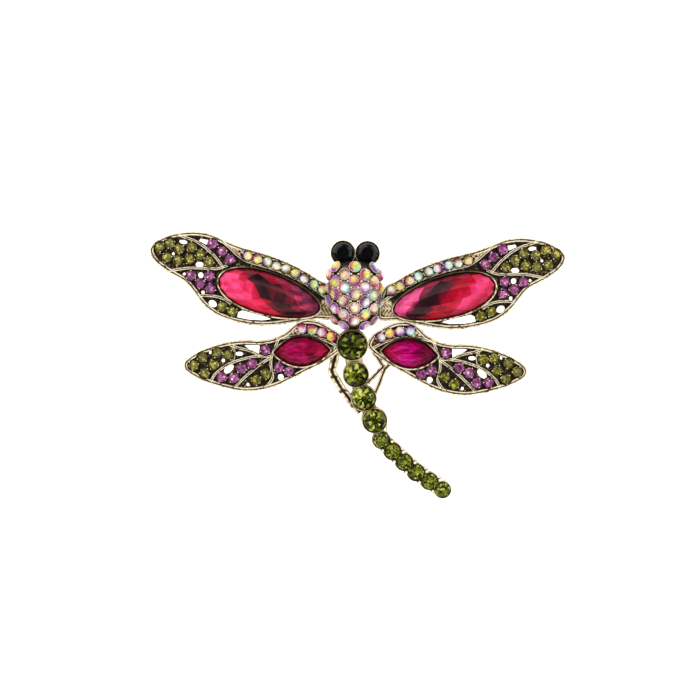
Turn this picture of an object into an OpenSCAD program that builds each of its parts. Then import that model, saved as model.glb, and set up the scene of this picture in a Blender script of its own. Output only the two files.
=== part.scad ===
// Dragonfly brooch: a pierced casting set with cut stones, lying face up on its pin and tail tip.
// X runs along the wings, Y to the head and Z up through the stones.

/* [Wings] */
// Reach of an upper wing, from the middle line to its tip
upper_reach = 36; // [33:0.5:39]
// Depth of an upper wing, from its trailing edge to its leading edge
upper_depth = 16; // [14.5:0.5:17.5]
// Trailing edge of the upper wings, measured from the thorax's middle
upper_low = -5.6; // [-6.4:0.1:-4.8]
// Reach of a lower wing, from the middle line to its tip
lower_reach = 29.7; // [27:0.1:32]
// Depth of a lower wing, from its trailing edge to the seam with the upper wing
lower_depth = 12.7; // [11.5:0.1:14]
// Trailing edge of the lower wings, measured from the thorax's middle
lower_low = -16.4; // [-17.4:0.1:-15.4]
// How far the tips of the upper wings droop below the flat middle
droop = 2.6; // [1:0.1:3]
// Half width of the flat middle, over the pin
flat_half = 9; // [6:0.5:12]
// Thickness of the pierced wing floor
floor_t = 0.9; // [0.6:0.1:1.2]
// Height of rims and veins above the wing's back
rim_h = 1.9; // [1.6:0.1:2.2]
// Width of the wing rims
rim_w = 0.75; // [0.5:0.05:1]
// How far the rims stand out past the floor below them
rim_over = 0.06; // [0.04:0.01:0.1]
// Width of the veins
vein_w = 0.5; // [0.4:0.05:0.7]
// Width of a common pierced opening, which the others are measured by
piercing = 1; // [0.8:0.1:1.2]
// Diameter of the small beads of cast relief
relief_d = 0.55; // [0.4:0.05:0.7]

/* [Stones] */
// Diameter of the small aurora stones in the wing rows
aurora_d = 1.65; // [1.4:0.05:1.8]
// Diameter of the amethyst and olivine stones in the wings
colour_d = 1.75; // [1.5:0.05:1.9]
// Space between neighbouring small stones
stone_gap = 0.13; // [0.1:0.01:0.2]
// Length of a ruby stone
ruby_l = 17.8; // [16:0.1:19]
// Width of a ruby stone
ruby_w = 7; // [6.2:0.1:7.6]
// Height of a ruby stone above its girdle
ruby_h = 1.7; // [1.2:0.1:2.2]
// Depth of a ruby stone below its girdle
ruby_depth = 1; // [0.8:0.1:1.2]
// Length of a marquise stone
marquise_l = 9.3; // [8.5:0.1:10]
// Width of a marquise stone
marquise_w = 4.8; // [4.2:0.1:5.2]
// Height of a marquise stone above its girdle
marquise_h = 1.2; // [0.8:0.1:1.6]
// Depth of a marquise stone below its girdle
marquise_depth = 0.9; // [0.7:0.1:1.1]
// Wall of the settings round the ruby and marquise stones
bezel_w = 0.4; // [0.3:0.05:0.6]
// How far these settings stand above the rims
bezel_over = 0.3; // [0.1:0.05:0.5]
// Clearance between a stone and its setting
stone_fit = 0.1; // [0.06:0.01:0.15]

/* [Thorax and head] */
// Half width of the thorax dome
thorax_a = 4.3; // [4:0.1:5]
// Half length of the thorax dome
thorax_b = 6; // [5.4:0.1:6.6]
// Height of the thorax dome above the middle of the wing floor
thorax_h = 4.4; // [3.4:0.1:5]
// Squareness of the thorax's head end, where 2 is an oval
thorax_square = 6; // [2:1:8]
// Sideways place of the thorax and head, off the middle line
body_x = -0.42; // [-0.8:0.02:0.4]
// Diameter of the stones set over the thorax
pave_d = 1.9; // [1.5:0.05:1.95]
// Angle between neighbouring stones across the dome
pave_turn = 21; // [21:0.5:24]
// Angle between neighbouring stones along the tail end of the dome
pave_step = 21.5; // [21:0.5:24]
// Distance between neighbouring stones along its head end
pave_row = 2.2; // [2.1:0.05:2.4]
// Diameter of an eye
eye_d = 3.8; // [3.2:0.1:4.1]
// Distance from the thorax's middle to the middle of the eyes
eye_y = 7.15; // [7:0.05:8]

/* [Tail and legs] */
// Diameter of the stone under the thorax
waist_d = 4.8; // [4.2:0.1:5.2]
// Diameter of the next three tail stones
tail_big_d = 3.9; // [3.4:0.1:4.2]
// Diameter of the small stones of the tail's end
tail_small_d = 2.6; // [2.2:0.1:2.9]
// Distance from the thorax's middle to the stone under it
waist_y = 8.45; // [8.3:0.05:9]
// Sideways place of the stone under the thorax, off the middle line
waist_x = -0.67; // [-0.9:0.01:-0.4]
// Space behind the stone under the thorax
waist_gap = 0.8; // [0.5:0.1:1.1]
// Space between the big tail stones
tail_big_gap = 0.4; // [0.3:0.05:0.6]
// Space between the small tail stones
tail_small_gap = 0.15; // [0.12:0.01:0.3]
// Wall of the round cups of the tail and eyes
cup_w = 0.22; // [0.18:0.01:0.3]
// Metal under a stone in its cup
seat_t = 0.5; // [0.3:0.1:0.8]
// How far a cup stands above its stone's girdle
cup_lip = 0.12; // [0.06:0.02:0.2]
// Height of the bridge between the tail's cups above their underside
bridge_h = 1; // [0.8:0.1:1.2]
// Diameter of the beads that hold the small tail stones
prong_d = 0.6; // [0.5:0.05:0.7]
// How far these beads stand above the cups
prong_over = 0.35; // [0.2:0.05:0.5]
// Width of the left leg
leg_w = 1.5; // [1.2:0.1:1.8]
// Width of the right leg's thin bars
bar_w = 0.75; // [0.5:0.05:0.9]
// Height of the legs above their underside
leg_h = 1.4; // [1:0.1:1.8]

/* [Pin] */
// Height of the casting's back above the surface it lies on
pin_h = 4.5; // [4:0.1:5]
// Half length of the pin's base strip
pin_half = 12; // [10:0.5:13]
// Width of the pin's base strip
pin_w = 2.2; // [2:0.1:3]
// Thickness of the pin's base strip
pin_t = 0.8; // [0.6:0.1:1]
// Diameter of the pin's wire
wire_d = 0.9; // [0.7:0.05:1.1]
// Length of the hinge block and of the catch
block_l = 2.2; // [1.8:0.1:2.8]
// Place of the pin, measured from the thorax's middle
pin_y = -1.4; // [-2:0.1:-1]
// Clearance between the pin's base strip and the casting
pin_fit = 0.06; // [0.04:0.01:0.1]

/* [Hidden] */

// Each outline point is [share of the wing's reach, share of its depth].
upper_outline = [[0.1, 0.1], [0.12, 0.4], [0.2, 0.53], [0.3, 0.655], [0.42, 0.76], [0.55, 0.84],
    [0.64, 0.915], [0.71, 0.98], [0.8, 1], [0.9, 0.965], [0.97, 0.885], [1, 0.79], [0.97, 0.66],
    [0.895, 0.54], [0.825, 0.45], [0.785, 0.35], [0.74, 0.22], [0.665, 0.095], [0.55, 0.015],
    [0.43, -0.005], [0.3, 0.035], [0.2, 0.075]];
lower_outline = [[0.07, 0.58], [0.09, 0.745], [0.15, 0.84], [0.22, 0.925], [0.3, 0.94],
    [0.36, 0.87], [0.41, 0.765], [0.47, 0.69], [0.55, 0.65], [0.65, 0.65], [0.75, 0.62],
    [0.84, 0.556], [0.92, 0.476], [0.98, 0.38], [1, 0.29], [0.975, 0.19], [0.88, 0.075],
    [0.77, -0.002], [0.66, -0.052], [0.56, -0.04], [0.46, 0.022], [0.36, 0.137], [0.26, 0.265],
    [0.16, 0.4]];

// Veins of a wing, as shares like the outlines.
upper_veins = [
    [[0.12, 0.27], [0.2, 0.4], [0.26, 0.475], [0.32, 0.54], [0.39, 0.6], [0.46, 0.645],
        [0.52, 0.68], [0.57, 0.745], [0.61, 0.825], [0.66, 0.92]],
    [[0.64, 0.61], [0.67, 0.7], [0.7, 0.77], [0.74, 0.845], [0.785, 0.9], [0.83, 0.935], [0.87, 0.97]],
    [[0.62, 0.64], [0.66, 0.605], [0.7, 0.6], [0.76, 0.605], [0.82, 0.6], [0.9, 0.57]],
    [[0.6, 0.22], [0.635, 0.275], [0.68, 0.305], [0.73, 0.31], [0.775, 0.295]]];
lower_veins = [
    [[0.1, 0.57], [0.14, 0.625], [0.19, 0.675], [0.25, 0.715], [0.31, 0.725], [0.38, 0.71], [0.46, 0.66]],
    [[0.45, 0.67], [0.465, 0.56], [0.485, 0.46], [0.49, 0.33], [0.483, 0.22], [0.48, 0.13], [0.52, 0]],
    [[0.49, 0.42], [0.545, 0.335], [0.585, 0.26], [0.62, 0.185], [0.655, 0.11], [0.7, 0]],
    [[0.48, 0.43], [0.55, 0.435], [0.62, 0.41], [0.68, 0.37], [0.73, 0.32], [0.775, 0.255],
        [0.81, 0.18], [0.845, 0.06]],
    [[0.55, 0.43], [0.59, 0.485], [0.64, 0.52], [0.69, 0.545], [0.75, 0.6]],
    [[0.715, 0.56], [0.703, 0.47], [0.712, 0.36]]];

// Pierced openings with straight sides, as shares like the outlines.
upper_gaps = [
    [[0.71, 0.905], [0.755, 0.925], [0.762, 0.9], [0.725, 0.86]],
    [[0.405, 0.07], [0.45, 0.105], [0.5, 0.13], [0.545, 0.158], [0.565, 0.14], [0.572, 0.085],
        [0.52, 0.062], [0.45, 0.055]]];
lower_gaps = [
    [[0.558, 0.58], [0.65, 0.58], [0.62, 0.53], [0.59, 0.48], [0.562, 0.455]]];

// Oval openings: [share across, share along, length, width, turn], the sizes in piercings.
upper_ovals = [[0.838, 0.885, 1.4, 0.7, 10], [0.885, 0.757, 0.5, 0.5, 0], [0.757, 0.645, 1.4, 0.9, 0],
    [0.75, 0.53, 1, 0.9, 60], [0.83, 0.54, 0.5, 0.5, 0], [0.738, 0.345, 0.6, 0.6, 0],
    [0.69, 0.225, 1.5, 1.1, 30]];
lower_ovals = [[0.675, 0.46, 1.3, 0.7, 0], [0.735, 0.25, 2, 1.1, -42], [0.768, 0.365, 0.6, 0.6, 0],
    [0.845, 0.475, 0.4, 0.7, 10], [0.432, 0.155, 1, 1, 0], [0.622, 0.045, 0.5, 0.6, 0]];

// Small coloured stones: an anchor as shares of the wing, then offsets in stone pitches.
upper_olivine_sets = [
    [[0.805, 0.7], [[-1.8, -0.2], [-1, 0.45], [-0.2, 1.1], [0, 0], [0.95, 0.95], [1.05, -0.1],
        [1.85, 1.45], [2.1, 0.1], [2.8, 1.1]]],
    [[0.594, 0.145], [[0, 0], [0.95, 0.4]]]];
upper_amethyst_sets = [
    [[0.65, 0.785], [[-0.75, -0.7], [0, 0], [0.85, 0.7]]],
    [[0.752, 0.44], [[-0.85, 0.7], [0, 0], [0.85, 0.7], [-1, -0.45]]]];
lower_olivine_sets = [
    [[0.518, 0.195], [[0, 0], [0.88, -0.6]]],
    [[0.823, 0.303], [[-1.35, 0.95], [-0.3, 1.1], [1.05, 0.65], [1.85, -0.1], [0, 0], [0.8, -0.8]]]];
lower_amethyst_sets = [
    [[0.522, 0.52], [[0, 0]]],
    [[0.443, 0.285], [[0, 0], [-0.95, -0.35]]],
    [[0.66, 0.26], [[-0.95, 0.45], [0, 0], [0.7, -0.9], [1.8, -0.85]]]];

// Middle lines of the rows of aurora stones, as shares of the wing.
upper_row_line = [[0.165, 0.4], [0.205, 0.45], [0.26, 0.525], [0.32, 0.59], [0.39, 0.65],
    [0.45, 0.695], [0.53, 0.747]];
lower_row_line = [[0.142, 0.715], [0.19, 0.765], [0.245, 0.8], [0.32, 0.815]];

// Beads of cast relief: an anchor as shares of the wing, then offsets in bead diameters.
relief_offsets = [[-1.7, -0.8], [-0.8, 0.1], [0.1, -0.6], [0.7, 0.6], [1.7, 0.7]];
upper_relief = [0.565, 0.785];
lower_relief = [0.365, 0.785];

// Place and turn of the large stones, as shares of the wing and in degrees.
ruby_place = [0.418, 0.334];
ruby_turn = 16;
marquise_place = [0.312, 0.508];
marquise_turn = -4;

// Direction from each tail stone to the next, in degrees off straight back.
tail_turns = [8, 19, 27, 20, 45, 48, 50, 57, 58];

// Legs: points from the lower wing to the tail, as shares of the lower wing.
left_leg = [[-0.105, 0.6], [-0.138, 0.24], [-0.075, 0]];
right_leg_outer = [[0.2, 0.36], [0.17, 0.29], [0.135, 0.06]];
right_leg_inner = [[0.1, 0.53], [0.162, 0.325]];
// Where each leg ends, from the middle of a big tail stone in diameters of that stone.
left_leg_end = [-0.14, -0.63];
right_outer_end = [0.39, -0.01];
right_inner_end = [0.5, -0.36];

colour_pitch = colour_d + stone_gap;
aurora_pitch = aurora_d + stone_gap;
// A round stone's depth below its girdle and height above it, for each millimetre of diameter.
pavilion = 0.32;
crown = 0.2;
// Rings of the cut stones from table to girdle: [share of the outline, share of the height].
small_rings = [[0.56, 1], [1, 0]];
round_rings = [[0.55, 1], [0.8, 0.62], [1, 0]];
ruby_rings = [[0.3, 1], [0.56, 0.86], [0.8, 0.52], [1, 0]];
marquise_rings = [[0.42, 1], [0.74, 0.6], [1, 0]];
// Raised parts start this far down inside the wing floor, as a share of its thickness.
sink = 0.22;
droop_k = droop / pow(upper_reach - flat_half, 2);
tail_ds = [waist_d, tail_big_d, tail_big_d, tail_big_d, tail_small_d, tail_small_d, tail_small_d,
    tail_small_d, tail_small_d, tail_small_d];
tail_gaps = [waist_gap, tail_big_gap, tail_big_gap, tail_big_gap, tail_small_gap, tail_small_gap,
    tail_small_gap, tail_small_gap, tail_small_gap];

// Curves through a list of points, closed or open, with n steps between them.
function bend(a, b, c, d, t) = 0.5 * (2 * b + (c - a) * t + (2 * a - 5 * b + 4 * c - d) * t * t
    + (3 * b - a - 3 * c + d) * t * t * t);
function closed_curve(p, n) = let(m = len(p)) [for (i = [0:m - 1], j = [0:n - 1])
    bend(p[(i + m - 1) % m], p[i], p[(i + 1) % m], p[(i + 2) % m], j / n)];
function open_curve(p, n) = let(m = len(p)) concat([for (i = [0:m - 2], j = [0:n - 1])
    bend(p[max(i - 1, 0)], p[i], p[i + 1], p[min(i + 2, m - 1)], j / n)], [p[m - 1]]);
function ahead(p, i) = let(d = p[min(i + 1, len(p) - 1)] - p[max(i - 1, 0)]) d / norm(d);
function beside(p, w) = [for (i = [0:len(p) - 1]) p[i] + w / 2 * [-ahead(p, i)[1], ahead(p, i)[0]]];
function backwards(p) = [for (i = [len(p) - 1:-1:0]) p[i]];
function path_length(p, i = 0) = i > len(p) - 2 ? 0 : norm(p[i + 1] - p[i]) + path_length(p, i + 1);
function walk(p, s, i = 0) = let(d = p[i + 1] - p[i])
    i > len(p) - 3 || norm(d) >= s ? p[i] + d / norm(d) * s : walk(p, s - norm(d), i + 1);

// Places on the wings, in millimetres from the thorax's middle.
function on_upper(p) = [p[0] * upper_reach, upper_low + p[1] * upper_depth];
function on_lower(p) = [p[0] * lower_reach, lower_low + p[1] * lower_depth];
function upper_list(p) = [for (q = p) on_upper(q)];
function lower_list(p) = [for (q = p) on_lower(q)];
function sets_upper(sets) = [for (s = sets, o = s[1]) on_upper(s[0]) + o * colour_pitch];
function sets_lower(sets) = [for (s = sets, o = s[1]) on_lower(s[0]) + o * colour_pitch];
function row_points(line) = let(p = open_curve(line, 3))
    [for (i = [0:floor(path_length(p) / aurora_pitch + 0.05)]) walk(p, i * aurora_pitch)];
upper_row_at = row_points(upper_list(upper_row_line));
lower_row_at = row_points(lower_list(lower_row_line));
upper_olivine_at = sets_upper(upper_olivine_sets);
upper_amethyst_at = sets_upper(upper_amethyst_sets);
lower_olivine_at = sets_lower(lower_olivine_sets);
lower_amethyst_at = sets_lower(lower_amethyst_sets);
upper_edge = closed_curve(upper_list(upper_outline), 2);
lower_edge = closed_curve(lower_list(lower_outline), 2);

// Drop of the bent wing's back below the flat middle, and its slope in degrees.
function drop(x) = droop_k * pow(max(abs(x) - flat_half, 0), 2);
function slope(x) = atan(2 * droop_k * max(abs(x) - flat_half, 0)) * sign(x);

// The tail is a chain: each stone lies one pitch from the last, and lower by the tail's slope.
function cup_d(d) = d + 2 * (stone_fit + cup_w);
function cup_h(d) = seat_t + pavilion * d + cup_lip;
function tail_reach(i) = i == 0 ? 0
    : tail_reach(i - 1) + (tail_ds[i - 1] + tail_ds[i]) / 2 + tail_gaps[i - 1];
function tail_at(i) = i == 0 ? [waist_x, -waist_y]
    : tail_at(i - 1) + (tail_reach(i) - tail_reach(i - 1))
        * [sin(tail_turns[i - 1]), -cos(tail_turns[i - 1])];
tail_slope = asin(pin_h / tail_reach(9));
function tail_z(i) = pin_h * (1 - tail_reach(i) / tail_reach(9));
function tail_heading(i) = (tail_turns[max(i - 1, 0)] + tail_turns[min(i, 8)]) / 2;

// The origin lies under the middle of the brooch's box.
box_top = max([for (p = upper_edge) p[1]]);
box_low = min([for (i = [0:9]) tail_at(i)[1] - cup_d(tail_ds[i]) / 2]);
middle_y = (box_top + box_low) / 2;

// The thorax's width at y as a share of its greatest, for a half length b: squarer towards the head.
function end_power(y) = y > 0 ? thorax_square : 2;
function thorax_width(y, b) = sqrt(max(1 - pow(abs(y) / b, end_power(y)), 0));
function thorax_outline(more) = let(half = [for (t = [-90:15:90]) (thorax_b + more) * sin(t)])
    let(right = [for (y = half) [(thorax_a + more) * thorax_width(y, thorax_b + more), y]])
    concat(right, [for (q = backwards(right)) if (abs(q[1]) < thorax_b) [-q[0], q[1]]]);

// Unit outlines of the stones: 0 round, 1 a long drop with a blunt end, 2 a boat with pointed ends.
function rim_point(kind, t) = kind == 0 ? [cos(t), sin(t)]
    : kind == 1 ? [cos(t), sin(t) * (0.97 + 0.14 * cos(t))]
    : [cos(t), sin(t) * pow(abs(sin(t)), 0.75)];

// A cut stone: rings from the table down to the girdle, each turned half a facet from the last,
// and a point below. A long stone's rings draw in at the ends by about as much as at the sides.
module gem(kind, l, w, h, depth, rings, n) {
    draw = l > w ? 1.25 * w / l : 1;
    points = concat([for (k = [0:len(rings) - 1], i = [0:n - 1])
        let(q = rim_point(kind, (i + k / 2) * 360 / n), s = rings[k][0])
        [q[0] * l / 2 * (1 - (1 - s) * draw), q[1] * w / 2 * s, h * rings[k][1]]],
        [[0, 0, -depth]]);
    last = len(rings) - 1;
    faces = concat([[for (i = [n - 1:-1:0]) i]],
        [for (k = [0:1:last - 1], i = [0:n - 1]) [k * n + i, k * n + (i + 1) % n, (k + 1) * n + i]],
        [for (k = [0:1:last - 1], i = [0:n - 1])
            [k * n + (i + 1) % n, (k + 1) * n + (i + 1) % n, (k + 1) * n + i]],
        [for (i = [0:n - 1]) [last * n + i, last * n + (i + 1) % n, len(points) - 1]]);
    polyhedron(points, faces);
}

module small_gem(d) {
    hull() gem(0, d, d, crown * d, pavilion * d, small_rings, 8);
}

module round_gem(d) {
    gem(0, d, d, crown * d, pavilion * d, round_rings, 12);
}

// Moves a piece onto the bent wing, h above its back.
module on_wing(p, h) {
    translate([p[0], p[1], pin_h - drop(p[0]) + h]) rotate([0, slope(p[0]), 0]) children();
}

// Moves a piece to the middle of its tail cup.
module on_tail(i) {
    translate([tail_at(i)[0], tail_at(i)[1], tail_z(i)]) rotate([0, 0, tail_heading(i)])
        rotate([tail_slope, 0, 0]) children();
}

module at_thorax() {
    translate([body_x, 0, pin_h]) children();
}

module placed() {
    translate([0, -middle_y, 0]) children();
}

// A slab that follows the bend of the wings, from low to high above their back.
module bent_slab(low, high) {
    stations = concat([flat_half], [for (i = [1:4]) flat_half + i * (upper_reach + 2 - flat_half) / 4]);
    half = [for (x = stations) [x, -drop(x)]];
    line = concat([for (q = backwards(half)) [-q[0], q[1]]], half);
    translate([0, 0, pin_h]) rotate([90, 0, 0]) linear_extrude(4 * upper_depth, center = true)
        polygon(concat([for (p = line) p + [0, high]], [for (p = backwards(line)) p + [0, low]]));
}

module bent(low, high) {
    intersection() {
        linear_extrude(2 * pin_h + rim_h) children();
        bent_slab(low, high);
    }
}

module wire(p, w) {
    polygon(concat(beside(p, w), backwards(beside(p, -w))));
}

module ovals(rows) {
    for (r = rows) translate(r[0]) rotate(r[3]) scale([r[1] / r[2], 1]) circle(d = r[2] * piercing, $fn = 8);
}

module openings_2d() {
    for (g = upper_gaps) polygon(upper_list(g));
    for (g = lower_gaps) polygon(lower_list(g));
    ovals([for (r = upper_ovals) [on_upper(r), r[2], r[3], r[4]]]);
    ovals([for (r = lower_ovals) [on_lower(r), r[2], r[3], r[4]]]);
}

module dots(places, d) {
    for (p = places) translate(p) rotate(22.5) circle(d = d, $fn = 8);
}

module small_stones_2d(extra) {
    dots(upper_row_at, aurora_d + extra);
    dots(lower_row_at, aurora_d + extra);
    dots(concat(upper_olivine_at, upper_amethyst_at), colour_d + extra);
    dots(concat(lower_olivine_at, lower_amethyst_at), colour_d + extra);
}

module ruby_2d(more) {
    translate(on_upper(ruby_place)) rotate(ruby_turn)
        polygon([for (i = [0:23]) let(q = rim_point(1, i * 15))
            [q[0] * (ruby_l / 2 + more), q[1] * (ruby_w / 2 + more)]]);
}

module marquise_2d(more) {
    translate(on_lower(marquise_place)) rotate(marquise_turn)
        polygon([for (i = [0:19]) let(q = rim_point(2, i * 18))
            [q[0] * (marquise_l / 2 + 1.3 * more), q[1] * (marquise_w / 2 + more)]]);
}

// One side's wings: the pierced floor, then the rims and veins that stand on it.
module wing_floors_2d() {
    difference() {
        offset(delta = -rim_over) {
            polygon(upper_edge);
            polygon(lower_edge);
        }
        openings_2d();
    }
}

module rim_2d(edge) {
    difference() {
        polygon(edge);
        offset(delta = -rim_w) polygon(edge);
    }
}

module wing_wires_2d() {
    difference() {
        union() {
            rim_2d(upper_edge);
            rim_2d(lower_edge);
            intersection() {
                polygon(upper_edge);
                for (v = upper_veins) wire(upper_list(v), vein_w);
            }
            intersection() {
                polygon(lower_edge);
                for (v = lower_veins) wire(lower_list(v), vein_w);
            }
        }
        small_stones_2d(2 * stone_fit);
        translate([-body_x, 0]) polygon(thorax_outline(pave_d / 2));
        ruby_2d(stone_fit + bezel_w / 2);
        marquise_2d(stone_fit + bezel_w / 2);
    }
}

module wing_bezels_2d() {
    difference() {
        union() {
            ruby_2d(stone_fit + bezel_w);
            marquise_2d(stone_fit + bezel_w);
        }
        ruby_2d(stone_fit);
        marquise_2d(stone_fit);
        small_stones_2d(2 * stone_fit + rim_over);
    }
}

module reliefs_2d() {
    difference() {
        for (o = relief_offsets) {
            translate(on_upper(upper_relief) + o * relief_d) circle(d = relief_d, $fn = 6);
            translate(on_lower(lower_relief) + o * relief_d) circle(d = relief_d, $fn = 6);
        }
        small_stones_2d(2 * stone_fit + 2 * rim_over);
    }
}

module one_side() {
    bent(0, floor_t) wing_floors_2d();
    bent(floor_t * (1 - sink), rim_h) wing_wires_2d();
    bent(floor_t * (1 - sink), rim_h + bezel_over) wing_bezels_2d();
    bent(floor_t * (1 - sink), rim_h - bezel_over) reliefs_2d();
}

// The thorax: a plate under a dome. The dome is the hull of slices across it.
module thorax() {
    at_thorax() {
        linear_extrude(floor_t * (1 - sink / 2)) polygon(thorax_outline(cup_w));
        hull() for (t = [-80:20:80]) translate([0, thorax_b * sin(t), floor_t / 2]) rotate([90, 0, 0])
            linear_extrude(sink / 4, center = true) intersection() {
                scale(thorax_width(thorax_b * sin(t), thorax_b) * [thorax_a, thorax_h]) circle(1, $fn = 16);
                translate([0, thorax_h - floor_t / 4]) square(2 * thorax_a, center = true);
            }
    }
}

eye_side = eye_d / 2 + stone_fit + cup_w / 2;
eyes_at = [[-eye_side, eye_y], [eye_side, eye_y]];

module cup(d, n) {
    cylinder(d = cup_d(d), h = cup_h(d), $fn = n);
}

// What is cut out of the metal round a stone that stands in a cup.
module cup_space(d, n) {
    translate([0, 0, seat_t - stone_fit / 2]) cylinder(d = d + 2 * stone_fit, h = 3 * d, $fn = n);
}

// A plate from the eyes back into the thorax.
module neck() {
    at_thorax() hull() for (e = eyes_at) translate([0.9 * e[0], 0.8 * e[1], 0])
        cylinder(d = 0.8 * eye_d, h = floor_t, $fn = 8);
}

module tail_metal() {
    for (i = [0:9]) on_tail(i) cup(tail_ds[i], 16);
    for (i = [0:8]) hull() {
        on_tail(i) cylinder(d = tail_ds[i] * 0.7, h = bridge_h, $fn = 8);
        on_tail(i + 1) cylinder(d = tail_ds[i + 1] * 0.7, h = bridge_h, $fn = 8);
    }
    // Beads sit in the notches between the small stones, on both sides.
    for (i = [4:8], side = [-1, 1]) {
        middle = (tail_at(i) + tail_at(i + 1)) / 2;
        across = [cos(tail_turns[i]), sin(tail_turns[i])];
        at = middle + side * across * (tail_small_d - prong_d) * 0.56;
        translate([at[0], at[1], (tail_z(i) + tail_z(i + 1)) / 2]) rotate([0, 0, tail_turns[i]])
            rotate([tail_slope, 0, 0]) cylinder(d = prong_d, h = cup_h(tail_small_d) + prong_over, $fn = 6);
    }
}

function leg_line(points, i, end) = concat(lower_list(points), [tail_at(i) + end * tail_big_d]);

module leg(points, z_from, z_to, w) {
    total = len(points) - 1;
    for (i = [0:total - 1]) hull() for (j = [i, i + 1])
        translate([points[j][0], points[j][1], z_from + (z_to - z_from) * j / total])
            cylinder(d = w, h = leg_h, $fn = 6);
}

module casting() {
    color("tan") placed() difference() {
        union() {
            one_side();
            mirror([1, 0, 0]) one_side();
            thorax();
            for (e = eyes_at) at_thorax() translate(e) cup(eye_d, 16);
            neck();
            tail_metal();
            leg(leg_line(left_leg, 2, left_leg_end), pin_h, tail_z(3), leg_w);
            leg(leg_line(right_leg_outer, 2, right_outer_end), pin_h, tail_z(2), bar_w);
            leg(leg_line(right_leg_inner, 1, right_inner_end), pin_h, tail_z(1), bar_w);
        }
        for (e = eyes_at) at_thorax() translate(e) cup_space(eye_d, 16);
        for (i = [0:9]) on_tail(i) cup_space(tail_ds[i], 16);
        translate([0, 0, -pin_h]) cube([4 * upper_reach, 8 * upper_depth, 2 * pin_h], center = true);
    }
}

// The pin: a base strip with a hinge block, a wire and a catch.
module pin_back() {
    top = pin_h - pin_fit - drop(pin_half);
    color("silver") placed() translate([0, pin_y, 0]) {
        translate([-pin_half, -pin_w / 2, top - pin_t]) cube([2 * pin_half, pin_w, pin_t]);
        for (side = [-1, 1]) translate([side * (pin_half - block_l / 2) - block_l / 2, -pin_w / 3, 0])
            cube([block_l, pin_w * 2 / 3, top - pin_t / 2]);
        translate([-pin_half + block_l / 2, 0, wire_d]) rotate([0, 90, 0])
            cylinder(d = wire_d, h = 2 * pin_half - block_l, $fn = 16);
    }
}

module ruby() {
    on_wing(on_upper(ruby_place), floor_t + ruby_depth + stone_fit) rotate([0, 0, ruby_turn])
        gem(1, ruby_l, ruby_w, ruby_h, ruby_depth, ruby_rings, 16);
}

module marquise() {
    on_wing(on_lower(marquise_place), floor_t + marquise_depth + stone_fit) rotate([0, 0, marquise_turn])
        gem(2, marquise_l, marquise_w, marquise_h, marquise_depth, marquise_rings, 12);
}

module wing_stones(places, d) {
    for (p = places) on_wing(p, floor_t + pavilion * d + stone_fit / 2) small_gem(d);
}

// Stones over the thorax, in columns across the dome with every other column moved half a step.
// They stop where the dome gets steep, and earlier beside the eyes.
module thorax_set() {
    at_thorax() translate([0, 0, floor_t / 2]) for (c = [-3:3], r = [-2.5:0.5:2]) {
        odd = abs(c) % 2 == 1;
        x = thorax_a * sin(c * pave_turn);
        y = r > 0 ? r * pave_row : thorax_b * sin(r * pave_step);
        q = end_power(y);
        left = 1 - pow(x / thorax_a, 2) - pow(abs(y) / thorax_b, q);
        if (odd != (floor(r) == r) && left > (r > 0 ? 0.15 : 0.07)) {
            z = thorax_h * sqrt(left);
            n = [x / pow(thorax_a, 2), q / 2 * pow(abs(y) / thorax_b, q - 1) / thorax_b * sign(y),
                z / pow(thorax_h, 2)];
            translate([x, y, z]) rotate([0, 0, atan2(n[1], n[0])]) rotate([0, acos(n[2] / norm(n)), 0])
                translate([0, 0, pavilion * pave_d + stone_fit]) small_gem(pave_d);
        }
    }
}

module tail_stone(i) {
    color("yellowgreen") placed() on_tail(i) translate([0, 0, seat_t + pavilion * tail_ds[i]])
        round_gem(tail_ds[i]);
}

module eye(i) {
    color("black") placed() at_thorax() translate([eyes_at[i][0], eyes_at[i][1], seat_t + pavilion * eye_d])
        round_gem(eye_d);
}

module left() {
    placed() mirror([1, 0, 0]) children();
}

module eye_left() { eye(0); }
module eye_right() { eye(1); }
module ruby_left() { color("crimson") left() ruby(); }
module ruby_right() { color("crimson") placed() ruby(); }
module marquise_left() { color("deeppink") left() marquise(); }
module marquise_right() { color("deeppink") placed() marquise(); }
module thorax_stones() { color("lightcyan") placed() thorax_set(); }
module upper_row_left() { color("lightyellow") left() wing_stones(upper_row_at, aurora_d); }
module upper_row_right() { color("lightyellow") placed() wing_stones(upper_row_at, aurora_d); }
module lower_row_left() { color("lightyellow") left() wing_stones(lower_row_at, aurora_d); }
module lower_row_right() { color("lightyellow") placed() wing_stones(lower_row_at, aurora_d); }
module upper_amethysts_left() { color("orchid") left() wing_stones(upper_amethyst_at, colour_d); }
module upper_amethysts_right() { color("orchid") placed() wing_stones(upper_amethyst_at, colour_d); }
module lower_amethysts_left() { color("orchid") left() wing_stones(lower_amethyst_at, colour_d); }
module lower_amethysts_right() { color("orchid") placed() wing_stones(lower_amethyst_at, colour_d); }
module upper_olivines_left() { color("olive") left() wing_stones(upper_olivine_at, colour_d); }
module upper_olivines_right() { color("olive") placed() wing_stones(upper_olivine_at, colour_d); }
module lower_olivines_left() { color("olive") left() wing_stones(lower_olivine_at, colour_d); }
module lower_olivines_right() { color("olive") placed() wing_stones(lower_olivine_at, colour_d); }
module tail_stone_1() { tail_stone(0); }
module tail_stone_2() { tail_stone(1); }
module tail_stone_3() { tail_stone(2); }
module tail_stone_4() { tail_stone(3); }
module tail_stone_5() { tail_stone(4); }
module tail_stone_6() { tail_stone(5); }
module tail_stone_7() { tail_stone(6); }
module tail_stone_8() { tail_stone(7); }
module tail_stone_9() { tail_stone(8); }
module tail_stone_10() { tail_stone(9); }

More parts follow.
